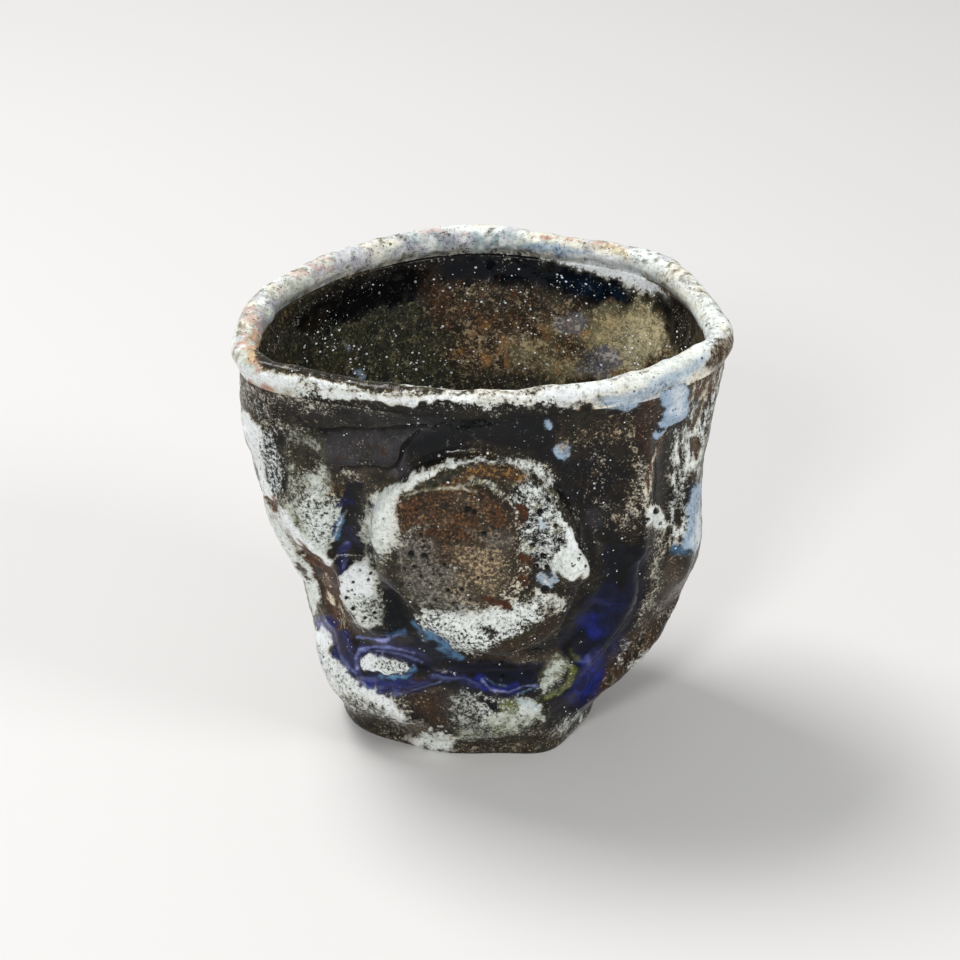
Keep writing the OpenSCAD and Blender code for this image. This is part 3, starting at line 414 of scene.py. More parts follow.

# painted glint: a thin white line on the dark left edge of the disc
# painted highlight: a thin white line down the blue glass in the groove
# painted highlight: a white dot on the small sky blue piece
# painted reflection: these two slab areas paint a grey reflection of the light on the black neck
# painted shade along the bottom edge of the medallion
# painted shade along the step on the disc's right side
# painted shade along the step on the disc's right side
# painted shade in the hollow of the dished disc
# painted shadow under the drop of glaze
# painted shadow: a dark line in the shallow groove right of the white shoulder
OUTER_MARKS = """
# neck
jet area 0.98 6 3 286,404 340,406 470,412 560,410 610,412 650,402 664,384 690,384 668,470 644,560 612,560 574,500
556,470 520,452 470,446 420,470 320,470 300,440
ink 8 0.5 6 4 420,440 470,428 540,430
flecks area 0.95 4 4 240,396 262,398 288,402 304,412 300,432 284,434 268,424 250,414
umber area 0.85 4 3 276,402 302,406 304,424 290,430 280,418
rime 5 0.75 4 6 300,410 312,408 324,412
umber area 0.7 3 3 302,416 402,420 400,428 306,429
slab area 0.85 6 6 0.1 336,432 380,430 424,428 414,438 404,444 400,456 396,467 350,469 318,466 314,450 322,436
slab area 0.8 2.4 2 0.08 402,448 409,456 411,466 420,484 408,488 396,480 386,472 398,466
ink 4 0.6 5 3 426,436 424,450 428,460
dust 4.5 0.65 4 5 362,440 370,452 366,462
dust 6 0.35 6 9 344,444 358,452 374,446
rime 2.4 0.55 3 8 330,464 352,466 372,464 392,464
crack taper 1 1.2 1.5 -0.3 298,417,0.8 303,426,1.4 309,430,1.6 328,431,1 344,428,1.2 370,429,0.7 400,427,1
428,426,0.5
crack taper 1 1.2 1.5 -0.35 420,431,0.6 410,439,1.2 403,447,1.8 401,457,1.4 397,466,2 388,470,1.4 372,467,1
340,468,0.6
rime 5 0.9 3 5 346,471 354,477 360,484
gold 5 0.8 3 5 322,486 334,491 344,496
umber area 0.9 4 3 360,472 388,472 398,482 384,494 366,494
rime 3.4 0.9 3 4 300,404 348,407 400,410 470,410 540,410 572,406
ash 4 0.8 3 5 562,441 580,434 600,438 612,435
umber area 0.8 4 3 556,412 604,412 612,428 590,432 560,430
sky area 0.97 1.4 2.5 0.12 553,446 560,442 568,441 573,447 570,456 562,462 555,460 552,452
sky 3 0.92 1.2 1.5 0.1 547,423 549,427
dust area 0.75 6 8 562,436 584,430 604,432 624,430 624,446 600,444 580,452 566,450
rime 5 0.7 4 6 598,456 604,462
rime 6 0.5 4 6 600,500 610,504
rime 3 0.4 3 5 588,516 600,520
flecks area 0.5 8 10 578,450 612,446 624,478 614,522 592,540 580,500
slab dots 0.4 2 0 593,519,11
# right, under the lip
sky area 0.95 2 2 0.15 604,400 620,398 640,394 656,386 662,384 652,396 636,407 628,413 614,412 606,407
bark area 0.92 4 4 640,392 662,384 664,404 656,440 650,480 640,520 632,540 640,470 640,430
clay_red 4 0.75 3 3 651,402 656,411
dust area 0.8 7 9 566,434 590,424 620,416 640,412 646,432 632,446 600,444 576,450
gold 3 0.6 3 8 656,452 650,470 644,488 638,502
dust 9 0.85 6 9 626,436 634,460 638,480 632,504 622,524
dust taper 0.8 5 9 626,438,7 632,452,9 638,470,9 636,488,9 630,504,8 624,526,8
rime taper 0.85 4 9 628,440,3 632,452,6 638,470,5 637,488,6 631,504,5 624,524,6
rime taper 0.9 3 6 664,432,2 657,452,3.6 652,474,3 645,492,4 636,508,3 628,520,4
maroon 4 0.6 4 5 641,400 644,424 640,452
gilt_streak 2.4 0.75 3 8 664,424 660,446 652,470 646,496
rime 2 0.6 3 8 648,500 642,516 640,532
umber 5 0.85 4 3 669,440 665,480 661,540
rime 2.4 0.7 3 6 660,540 664,520 668,500 669,470
mud_streak area 0.92 3 4 688,380 700,378 714,380 706,408 700,424 698,456 688,458 690,420
gilt_streak 2.6 0.8 2.5 7 716,382 706,404 698,428 695,456
white taper 0.85 2 6 677,438,2 680,456,3.4 680,476,3.4 677,500,2.4
white taper 0.8 2 6 686,440,1.6 687,462,2.6 686,482,2
white_streak 2 0.8 2.5 7 700,390 692,412 686,428
white_streak taper 0.95 3 4 674,428,2 678,446,5 679,470,6 676,500,4 672,528,3 676,547,4
umber 1.6 0.8 1.5 2 -0.12 682,440 682,480 678,520
white_streak taper 0.92 3 4 686,430,2 688,450,4 687,470,4 683,500,3 684,530,4
bark_streak area 0.95 3 5 700,352 734,342 731,362 722,386 712,404 698,398 692,372
gilt_streak area 0.55 4 6 704,350 733,343 729,366 717,390 704,404 696,392
white_streak 3 0.92 2 4 723,372 714,396 706,416 701,440 698,462 700,482
sky area 0.95 2 3 0.15 690,486 700,480 702,504 701,536 696,554 684,557 680,552 686,534 688,508
snow 3.5 0.7 3 3 698,514 697,546
azure 4 0.7 3 3 677,551 684,554
sky area 0.98 1.2 2.5 0.25 664,381 676,384 684,383 689,389 687,401 684,413 676,419 668,425 664,433 659,441 653,441
652,436 660,428 657,424 664,413 668,408 662,402 661,393
snow 4 0.5 4 4 678,390 674,408
jet 2 0.9 1 1 658,430 661,428
white area 0.97 1.6 3 0.18 644,512 650,506 660,506 667,514 664,524 656,528 648,526 643,519
pit dots 1 0.8 0.5 -0.3 655,511,3 647,519,1.6 659,523,1.2
rime 5 0.85 3 6 654,532 650,548 656,562
umber area 0.92 4 4 664,552 700,556 694,590 680,616 664,634 644,650 644,620 654,596 660,578
mud_streak 6 0.6 5 5 676,566 670,590 660,612
bark_streak area 0.8 5 6 690,580 686,600 664,634 640,666 606,702 586,722 600,690 616,652 640,612 664,600
rime 4 0.85 3 5 664,546 658,564 656,584 650,602
rime 3.5 0.95 2 4 680,598 683,590
rime 4 0.9 3 5 655,604 662,614 674,616
rime 3.6 0.95 2 5 646,604 640,616 634,628
rime 3 0.9 2 4 641,634 634,645
frost 4.6 0.95 2 4 620,645 614,654 617,659
frost 4.4 0.95 2 4 647,649 639,658 630,667
bark 5 0.85 4 3 620,628 612,650 604,672 596,692
maroon 5 0.85 4 3 606,664 600,684 590,702
rime 2.5 0.8 2 4 606,698 613,690
rime 2.5 0.85 2 3 592,703 599,700
umber 4 0.85 2 3 572,730 586,716 600,702
frost 5 0.95 3 5 554,734 564,724 578,714
frost 4 0.9 3 4 560,739 574,736 583,727 590,717
# glass down the right
night area 0.98 5 3 602,548 648,548 644,590 630,622 610,650 600,682 588,706 566,714 546,718 558,692 566,660 558,640
574,610 590,580
indigo 7 0.35 12 4 584,604 598,596 612,604
indigo 5 0.35 10 4 604,620 616,640 606,656
ultramarine 4 0.75 10 4 578,618 590,624 597,633
ultramarine area 0.85 10 4 582,662 597,658 601,676 594,694 580,701 568,697 577,686 583,676
violet 5 0.5 6 3 598,652 590,662
slab 5 0.5 5 3 548,714 560,705 574,700
# left shoulder
snow area 0.98 2.5 3 236,406 250,417 262,428 266,440 262,455 262,470 268,484 276,494 272,502 262,504 252,478 242,446
starling area 0.95 2.5 3 262,430 272,432 280,448 284,466 284,482 280,498 272,500 264,484 262,468 260,450
ink 2.2 0.9 2 2 -0.15 280,438 286,460 286,488
lichen area 0.95 5 6 285,430 300,428 320,436 324,452 330,470 322,500 300,512 285,504 285,470
ash area 0.75 5 8 288,430 320,434 324,458 302,462 288,450
tint_khaki 9 0.3 6 6 300,484 318,492
umber area 0.8 5 9 290,448 306,444 320,456 314,474 296,470
white area 0.5 6 9 306,478 322,470 328,490 314,500 300,494
rime area 0.7 5 9 288,476 302,478 304,496 290,498
olive 3.4 0.85 2 3 301,502 305,508
white area 0.95 3 4 254,498 268,504 284,528 302,558 292,566 272,536
tint_salmon 3.4 0.95 2 6 268,500 274,510 281,519
bark 1.8 0.9 1.4 1.5 -0.3 266,498 276,512 286,526 296,540 306,552 320,562
# fold
lichen area 0.96 3 3 286,506 300,500 330,498 344,504 340,520 334,545 328,563 318,560 300,540 284,520
white area 0.85 6 6 304,514 336,504 338,516 332,540 326,560 316,552 306,532
snow 5.2 0.97 2.5 2 279,512 290,528 302,542 314,554 326,562
peppered area 0.7 6 9 298,500 330,498 340,514 334,540 318,544 300,520
# groove
night area 0.98 2.5 2 346,484 364,486 366,516 360,544 350,562 340,572 334,562 340,540 340,510
jet 5 0.8 4 2 356,490 356,520
ultramarine 2 0.45 3 3 341,503 350,504
azure area 0.95 1.8 3 341,515 345,522 342,532 336,541 331,537 334,526
sky 1 0.6 1.5 2 341,518 338,528 334,537
snow 0.9 0.6 1 0.8 347,510 340,524 333,542
violet 4 0.35 5 3 352,530 357,541
umber 3 0.8 2 2 330,554 346,556 364,557
violet 2.5 0.7 3 2 345,546 341,560 336,573
# white left of the disc
lichen area 0.93 5 6 364,508 382,492 404,488 404,520 398,545 398,562 384,568 370,558 362,540
white area 0.92 4 5 378,498 402,490 401,520 394,544 384,552 374,532
night 3.4 0.95 1.5 1.5 370,546 374,552
night 2.4 0.7 2 3 372,504 377,510
ash 4 0.6 4 6 376,560 390,566 398,560
ash 5 0.6 4 6 362,500 366,520 366,540
pit dots 1 0.7 0.4 -0.2 384,519,1.8 382,543,1.6 378,527,1.2 370,543,1.4 392,508,1.1 388,533,1 396,500,1.1
# lobe
white area 0.98 2.2 3 352,560 366,558 376,570 380,590 386,604 386,622 378,633 364,631 350,615 340,594 339,574
snow area 0.92 4 3 352,562 364,560 370,574 368,598 352,602 342,590 344,572
lichen area 0.85 4 6 362,602 376,590 386,606 385,628 374,633 362,627
rime 3.6 0.85 3 6 375,566 376,580 378,596
ash 4 0.7 3 5 374,604 382,618
slab area 0.9 3 3 380,572 396,578 403,592 390,596 379,588
ink area 0.97 3 2 383,592 402,590 416,612 419,629 398,633 388,627 383,608
peppered area 0.6 5 7 346,600 370,596 384,606 380,628 362,628 348,614
pit dots 1 0.7 0.4 -0.18 353,582,1.4 352,590,1 346,598,1.5 353,609,1.7 370,573,1.4 368,580,1.5 360,570,1.1
375,613,1.5 365,618,1.2
# channel inside the left ridge
rust_gloss area 0.98 2 2 298,538 316,556 332,566 339,584 341,600 353,640 354,652 340,636 327,612 317,590 306,560
maroon area 0.7 3 2 325,566 337,572 339,597 329,592
gilt_streak area 0.9 2 3 320,570 326,572 332,592 344,616 352,636 346,640 334,618 324,596
bark_streak 4 0.6 2 3 336,604 344,624 350,644
violet_streak 3.4 0.85 2 2 344,634 350,652 356,668
white 3.8 0.96 1.8 3 302,556 311,574 315,594 314,610
umber 1.6 0.8 1.5 2 -0.15 312,562 319,588 321,606
white 3.6 0.92 2 5 280,542 292,562 302,580 309,598
# channel under the medallion
night area 0.98 4 2 352,635 400,631 416,632 440,650 470,662 540,664 562,660 568,690 530,700 480,695 430,688 380,692
360,682 354,660
violet 5 0.8 5 2 317,622 330,626 338,640 344,656 352,668 360,678
ultramarine 3.4 0.5 5 3 336,652 344,668 356,682 372,692
ultramarine 2.2 0.7 2.6 2 315,618 326,620 334,626
indigo 3 0.7 4 2 326,628 338,646 348,664 358,678
periwinkle 0.6 0.6 1.6 1.5 322,624 331,634 338,650 346,664 356,673
maroon 4 0.45 3 3 333,634 342,650
slab 5 0.5 4 2 362,642 384,643 410,640
violet area 0.6 6 3 358,646 380,644 408,648 430,660 404,663 384,656 366,655 360,666
periwinkle 0.8 0.75 1.6 1.5 358,668 356,656 360,650 372,647 392,647 414,653
periwinkle 0.6 0.45 1.5 1.5 364,651 384,651 404,655 422,662
periwinkle 1.1 0.8 1.6 1.6 0.06 357,637 372,639 386,640 396,635 404,632
azure 2 0.6 3 2 388,638 396,634 404,632
violet area 0.65 6 3 360,674 380,683 410,679 434,680 418,694 390,700 368,694
ultramarine 3.6 0.35 5 3 366,682 384,686 404,686
periwinkle 0.7 0.6 1.6 1.5 362,682 372,690 388,695 404,694 420,688 440,682
azure taper 0.85 2.6 2.5 380,677,1.5 392,676,3 404,674,2.6 416,669,1
snow area 0.98 1.6 2 0.2 362,659 370,652 386,656 402,662 411,668 401,672 384,675 370,671 362,665
peppered area 0.85 3 6 378,655 400,660 411,668 392,673 376,669
dust 3 0.65 3 4 420,677 432,674 444,668
violet 3 0.4 5 3 436,677 462,679 480,685
ultramarine 3.4 0.85 3.5 2.5 479,679 486,688 500,693 518,690
periwinkle 0.8 0.75 1.4 1.5 482,680 491,690 508,692 524,686 542,686
sky 0.7 0.5 1.2 1.5 486,678 494,684 506,686
sky 1.1 0.65 1.2 1.5 512,699 520,694 532,688 550,688
# moss and mint at the lower right
lichen area 0.96 4 6 538,676 548,663 560,658 569,666 567,680 557,692 548,702 538,696
rind 5 0.7 4 5 544,676 552,666 562,662
moss 4 0.85 3 4 546,697 558,694 567,684 571,672
moss 2.6 0.5 3 3 574,652 578,660
# foot and lower belly
snow area 0.97 4 5 311,636 322,630 330,634 332,652 344,668 358,680 366,690 372,698 360,702 346,700 334,694 322,680
312,660
frost area 0.85 4 6 338,696 370,691 392,706 410,720 400,724 372,718 350,712
tint_mauve 3 0.5 3 4 319,650 322,664 328,677
rime area 0.85 4 6 376,692 404,694 422,706 406,717 384,709
rime area 0.55 5 9 326,676 344,686 366,696 384,706 374,716 350,706 332,694
tint_mauve area 0.6 4 7 312,650 322,650 334,668 350,682 346,690 328,678 316,664
peppered area 0.6 4 7 314,644 328,646 344,672 366,686 366,700 344,692 322,672
snow taper 0.85 3 6 362,688,3 380,700,4 402,716,2
white_streak taper 0.7 3 7 360,704,2 380,714,3 404,726,2
umber area 0.95 4 3 350,713 376,719 404,733 424,744 404,746 370,734
rime 2.4 0.8 2 4 374,726 384,730 394,735
bark area 0.95 4 3 404,690 450,690 454,706 450,730 428,728 416,712
dust 2.6 0.85 2 4 408,708 424,700 438,689
rime 2 0.8 2 4 412,716 418,722 425,727
slab area 0.5 5 4 440,694 456,690 459,716 449,732 441,716
lichen area 0.97 4 6 452,698 470,690 490,694 504,699 540,699 550,714 532,729 500,737 470,743 456,737 450,716
frost area 0.8 4 6 456,700 482,694 494,706 480,717 460,714
starling area 0.7 5 8 448,700 464,692 486,694 500,704 494,722 470,730 452,720
ash area 0.6 5 8 450,704 462,696 482,698 488,716 470,732 454,724
rind 6 0.8 4 6 500,720 518,722 534,712
moss 3 0.6 3 4 492,730 504,724
sky 3 0.45 3 5 520,704 534,708
white 5 0.6 4 5 522,714 532,712
moss 4 0.85 3 3 505,704 516,709
jet 2.6 0.7 2 4 486,701 496,708
rind 3 0.7 3 4 484,716 494,719
white area 0.95 3 8 0.12 404,738 420,733 438,730 456,738 458,749 436,752 416,748
umber area 0.93 4 4 456,745 500,739 540,731 566,738 560,752 520,759 470,758
dust area 0.8 4 6 346,728 380,738 404,744 404,750 370,742
dust area 0.85 4 6 454,744 500,742 548,736 562,742 548,752 500,758 460,756
rime taper 0.7 3 7 540,744,2 556,734,4 570,728,3
ash area 0.65 4 8 340,722 380,736 406,742 404,751 372,745 344,734
ash area 0.6 4 8 454,744 500,741 546,734 564,740 548,753 500,759 460,757
ash area 0.5 5 9 372,712 400,722 412,738 400,742 380,732
# medallion: ring
umber area 0.93 5 4 400,488 430,462 470,452 520,454 556,476 576,510 592,560 572,610 540,640 500,657 460,657 420,632
396,592 380,560
white area 0.8 6 6 364,520 384,492 404,488 404,520 398,548 384,556 370,548
lichen 6 0.5 6 6 366,530 372,552 390,562
white 3.8 0.96 2.5 5 388,495 404,486 416,480 426,474 438,466 452,462
frost 4 0.92 2.5 5 452,462 470,460 490,461 512,461 524,463
frost 5.5 0.96 3 5 520,464 536,470 548,478 562,487
olive 3 0.85 2 3 418,487 436,479 450,470
gold area 0.96 2.5 4 438,488 452,478 470,468 492,465 516,468 530,480 516,484 496,479 476,480 458,486
lichen 3 0.9 2 4 456,488 478,484 496,488 506,499
bone_grain area 0.85 5 6 500,494 520,484 532,500 534,530 530,560 524,592 506,592 516,560 516,530 508,508
jet 7 0.9 5 3 560,486 578,510 588,540 594,566 584,600 566,622
# medallion: disc
clay_red area 0.97 3 4 402,504 412,494 430,489 456,487 480,492 500,506 514,524 500,542 470,547 440,542 420,540
402,530
disc_brown area 0.85 7 9 420,494 450,489 480,493 498,506 486,520 456,516 430,510
disc_brown 5 0.7 4 6 402,512 408,526
sand 3 0.5 5 9 424,516 436,524 450,522
sand 2 0.5 4 8 462,500 476,506 486,516
umber 3 0.5 4 8 440,504 456,508 470,504
bone 1 0.75 1 1.5 0.12 405,496 420,491 440,488 460,488 476,492
rust 4 0.5 5 7 434,510 446,520 456,528
rust 3.4 0.5 4 6 455,517 466,526
rust 3.2 0.9 2 3 490,524 496,518 506,522
umber 4 0.8 3 4 484,516 487,532
grit area 0.97 4 5 399,542 420,536 440,546 450,560 462,580 470,600 440,606 416,598 402,576 397,558
rime 1.3 0.8 1.6 4 402,543 405,536 414,530 425,526
frost 1.8 0.85 1.2 2 449,566 458,571
umber 5 0.7 4 5 446,548 452,560
disc_brown area 0.7 7 8 430,536 460,536 468,556 452,570 434,560
sand area 0.7 9 12 458,556 476,542 500,540 514,556 510,584 496,602 474,600 458,580
sand area 0.6 6 10 466,562 484,550 504,554 506,578 492,594 472,586
grit area 0.75 5 5 470,532 500,530 518,522 517,548 490,546
sand 7 0.5 7 7 450,586 462,600 480,604
bone_grain area 0.75 5 6 508,520 521,516 523,560 517,602 498,606 508,582 515,560
umber 3 0.5 5 5 506,548 508,566 504,584
amber 3.6 0.95 1.8 2.5 520,508 525,514 522,520
amber 3.2 0.92 1.8 2.5 524,556 532,563
rust 3.2 0.95 1.8 2.5 520,574 526,583
amber 3.6 0.96 1.8 2.5 486,598 496,603 507,606
rust 1.6 0.8 1.2 1.5 500,606 506,608
maroon 3.2 0.85 2.5 3 436,613 448,616
pit dots 1 1.2 1.2 -0.28 468,510,3 474,513,3 484,534,2.6 411,554,2.8 424,556,3.2 421,535,1.9 404,568,1.6 421,576,1.9
431,584,1.6 448,591,2.2 455,605,3 410,584,1.5 436,600,1.6 470,600,1.6 478,578,1.2 492,560,1.1 500,572,1.1
444,566,2.4 416,510,1.2 428,520,1 414,566,1.2 440,575,1.5 462,590,1.5 402,584,1.3
# medallion: crawled net on the right
net area 0.97 4 6 506,486 530,480 552,492 566,516 570,545 562,568 548,574 530,566 522,548 520,520 508,500
pit dots 0.9 1.2 2 -0.3 548,502,3.4 553,510,2.6 543,556,2.2 548,568,2.2 536,566,2 560,540,2 556,526,1.8 540,512,1.6
532,545,1.8
sky 2.4 0.6 2 2 541,521 544,526
amber 3.2 0.85 2.4 4 0.12 519,508 524,514 521,520
amber 3 0.85 2.4 4 0.12 524,557 532,563
amber 2.4 0.9 1.6 3 0.1 519,576 525,584
umber 3 0.6 3 6 513,528 516,546 512,566
# medallion: bottom
frost area 0.97 3 6 416,616 440,608 466,616 490,612 520,606 548,596 557,604 545,618 520,633 494,645 474,655 456,651
436,639 419,628
peppered area 0.98 6 8 412,606 440,604 470,614 500,610 548,592 560,604 548,620 520,636 484,654 456,650 430,634
white area 0.5 8 9 424,612 452,604 480,610 510,604 544,592 548,606 520,622 480,634 450,630
jet 3 0.5 4 5 482,628 492,634
amber 3.2 0.85 2.4 4 0.12 487,598 497,603 507,606
ash area 0.85 5 6 402,582 424,592 446,600 470,604 462,615 430,611 410,602
rime area 0.85 4 6 540,590 560,582 575,588 567,606 548,621 538,612
umber 7 0.97 4 2 562,590 576,586 590,580 598,566
frost taper 0.95 2.2 6 0.2 524,486,1.5 546,498,2 558,512,2.4 566,528,3.4 572,543,6
snow taper 0.97 1.6 3 0.3 568,534,2 573,546,6 573,560,11
white area 0.98 2 3 555,557 568,548 580,550 588,560 586,572 574,581 560,577 551,569
pit dots 1 0.7 0.4 -0.15 578,560,1.4 584,566,1.2 573,566,1
sky 4 0.85 2 4 540,577 548,582 556,580
snow 1.6 0.9 1 1 545,581 548,584
pit dots 0.95 1.4 2 -0.25 545,590,4
frost 4.6 0.85 3 5 540,597 552,598 559,604
rime 4 0.8 3 7 572,504 577,520
azure taper 0.9 3.5 4 412,622,1 424,630,3 436,639,4.4 448,649,4.4 460,657,2
sky 0.8 0.5 1.5 2 418,625 434,633 450,646
bark 5 0.65 5 4 474,657 500,649 530,641 552,623
"""

# Sides that the photograph doesn't show
AROUND_MARKS = """
frost area 0.93 3 8 -16,60 28,60 52,60 50,46 30,38 8,44 -10,50
white area 0.8 3 7 -8,60 40,60 44,52 20,48 -2,53
frost area 0.93 3 8 62,60 118,60 122,50 104,40 84,47 66,52
lichen area 0.7 3 7 70,58 112,58 114,52 92,46 74,52
frost area 0.93 3 8 136,60 192,60 196,46 182,30 160,36 146,48
white area 0.85 3 7 146,60 190,60 190,50 172,42 152,52
mud_streak area 0.7 5 8 100,44 140,44 150,20 130,10 104,14
bark area 0.6 5 8 20,40 60,44 70,20 50,8 24,10
white_streak taper 0.93 2 5 24,42,5 26,28,4 22,14,2
white_streak taper 0.9 2 5 44,40,3 48,30,2.5 46,20,1.5
lichen taper 0.93 3 7 70,36,6 80,22,6 84,10,3
bark_streak 4 0.85 2 5 98,40 102,24 100,12
rime taper 0.92 3 7 118,42,5 124,26,4 120,12,2
frost taper 0.95 3 7 158,28,6 168,15,6 176,8,4
bark_streak taper 0.9 3 5 0,38,5 4,24,4 2,12,3
rime 4 0.85 3 6 -14,44 -8,34 -10,24
lichen 5 0.9 3 7 186,24 190,14
night taper 0.93 2 3 52,28,3 44,18,4 56,10,5
violet 1.4 0.7 1.2 1.5 50,24 45,17 54,11
gold 3 0.7 3 5 92,30 96,20
rust_gloss taper 0.9 2 3 138,30,3 144,18,3 140,8,2
night taper 0.85 2 3 146,14,2 160,9,4 176,7,3
umber 2.4 0.8 2 4 10,4 60,4 110,4 160,4
rind 3 0.8 3 6 78,12 96,8 112,10
rime 3 0.8 3 6 20,7 40,6 56,8
"""


def marks_of(table):
    """The marks of a table, each as its finish, its form, its numbers and its points."""
    marks = []
    for words in map(str.split, table.strip().splitlines()):
        if words[0] == "#":
            continue
        if "," not in words[0]:
            finish, form, *words = words
            marks.append((finish, form if form in FORMS else float(form), [], []))
        for word in words:
            if "," in word:
                marks[-1][3].append([float(x) for x in word.split(",")])
            else:
                marks[-1][2].append(float(word))
    return marks


# Noise, blurring and distances

# Steps of the lattice's hash along x, y, z and from seed to seed, its stir, and the bits kept
HASH_STEPS = (374761393, 668265263, 2147483629, 974634777)
HASH_STIR = 1274126177
HASH_BITS = 0xFFFFFFFF
LOW_BITS = 0xFFFF
# Shift that keeps the lattice's cells above 0
LATTICE_START = 512.0


def lattice(ix, iy, iz, seed):
    n = sum(part * step for part, step in zip((ix, iy, iz, seed), HASH_STEPS)) & HASH_BITS
    n = ((n ^ (n >> 13)) * HASH_STIR) & HASH_BITS
    return ((n ^ (n >> 16)) & LOW_BITS) / float(LOW_BITS)


def grain(points, size, seed):
    """Smooth noise between 0 and 1 whose grains are about size millimetres."""
    q = points / size + LATTICE_START
    i = np.floor(q).astype(np.int64)
    f = q - i
    f = f * f * (3.0 - 2.0 * f)
    out = 0.0
    for cx in (0, 1):
        for cy in (0, 1):
            for cz in (0, 1):
                w = ((f[..., 0] if cx else 1 - f[..., 0]) * (f[..., 1] if cy else 1 - f[..., 1])
                     * (f[..., 2] if cz else 1 - f[..., 2]))
                out = out + w * lattice(i[..., 0] + cx, i[..., 1] + cy, i[..., 2] + cz, seed)
    return out


def uneven(points, *layers):
    """Sum of noises about 0, each given as its size in mm, its seed, its height and where it holds."""
    return sum((grain(points, size, seed) - 0.5) * height * where for size, seed, height, where in layers)


def blurred(a, rows, cols):
    """Gaussian blur of a map by so many rows and columns; columns run round the cup."""
    for axis, sigma, edges in ((1, cols, {"mode": "wrap"}), (0, rows, {"mode": "reflect", "reflect_type": "odd"})):
        if sigma <= 0:
            continue
        reach = int(math.ceil(3 * sigma))
        weights = np.exp(-0.5 * (np.arange(-reach, reach + 1) / sigma) ** 2)
        weights /= weights.sum()
        pad = [(0, 0)] * a.ndim
        pad[axis] = (reach, reach)
        b = np.pad(a, pad, **edges)
        n = a.shape[axis]
        a = sum(w * b.take(range(k, k + n), axis=axis) for k, w in enumerate(weights))
    return a


def closed_up(a, rows, cols):
    """The map with its grooves narrower than twice so many rows and columns filled."""
    for pick in (np.maximum, np.minimum):
        for axis, reach in ((0, rows), (1, cols)):
            b = a
            for k in range(1, reach + 1):
                if axis:
                    a = pick(a, pick(np.roll(b, k, 1), np.roll(b, -k, 1)))
                else:
                    up, down = b.copy(), b.copy()
                    up[k:], down[:-k] = b[:-k], b[k:]
                    a = pick(a, pick(up, down))
    return a


def smooth_step(x):
    x = np.clip(x, 0.0, 1.0)
    return x * x * (3.0 - 2.0 * x)


def from_side(u, v, a, b):
    """Distance to the straight line from a to b, and how far along it the nearest place lies, from 0 to 1."""
    d = b[:2] - a[:2]
    t = np.clip(((u - a[0]) * d[0] + (v - a[1]) * d[1]) / max(d @ d, 1e-9), 0, 1)
    return np.hypot(u - a[0] - t * d[0], v - a[1] - t * d[1]), t


def from_line(u, v, pts, width):
    """Distance to a line through points less its half width, which is the points' own where width is 0."""
    best = np.full(u.shape, FAR_AWAY)
    for a, b in zip(pts[:-1], pts[1:]):
        away, t = from_side(u, v, a, b)
        half = width if width else a[2] + t * (b[2] - a[2])
        best = np.minimum(best, away - half)
    return best


def from_area(u, v, pts):
    """Signed distance to the edge of an area, below 0 inside it."""
    inside = np.zeros(u.shape, bool)
    best = np.full(u.shape, FAR_AWAY)
    for a, b in zip(pts, np.roll(pts, -1, 0)):
        best = np.minimum(best, from_side(u, v, a, b)[0])
        if a[1] != b[1]:
            crosses = ((a[1] > v) != (b[1] > v)) & (u < a[0] + (v - a[1]) / (b[1] - a[1]) * (b[0] - a[0]))
            inside ^= crosses
    return np.where(inside, -best, best)


def spread_of(share):
    """How many spreads of the pattern above its middle this share of cover lies, by the usual short formula."""
    share = min(max(share, 0.002), 0.998)
    return 4.91 * (share ** 0.14 - (1 - share) ** 0.14)


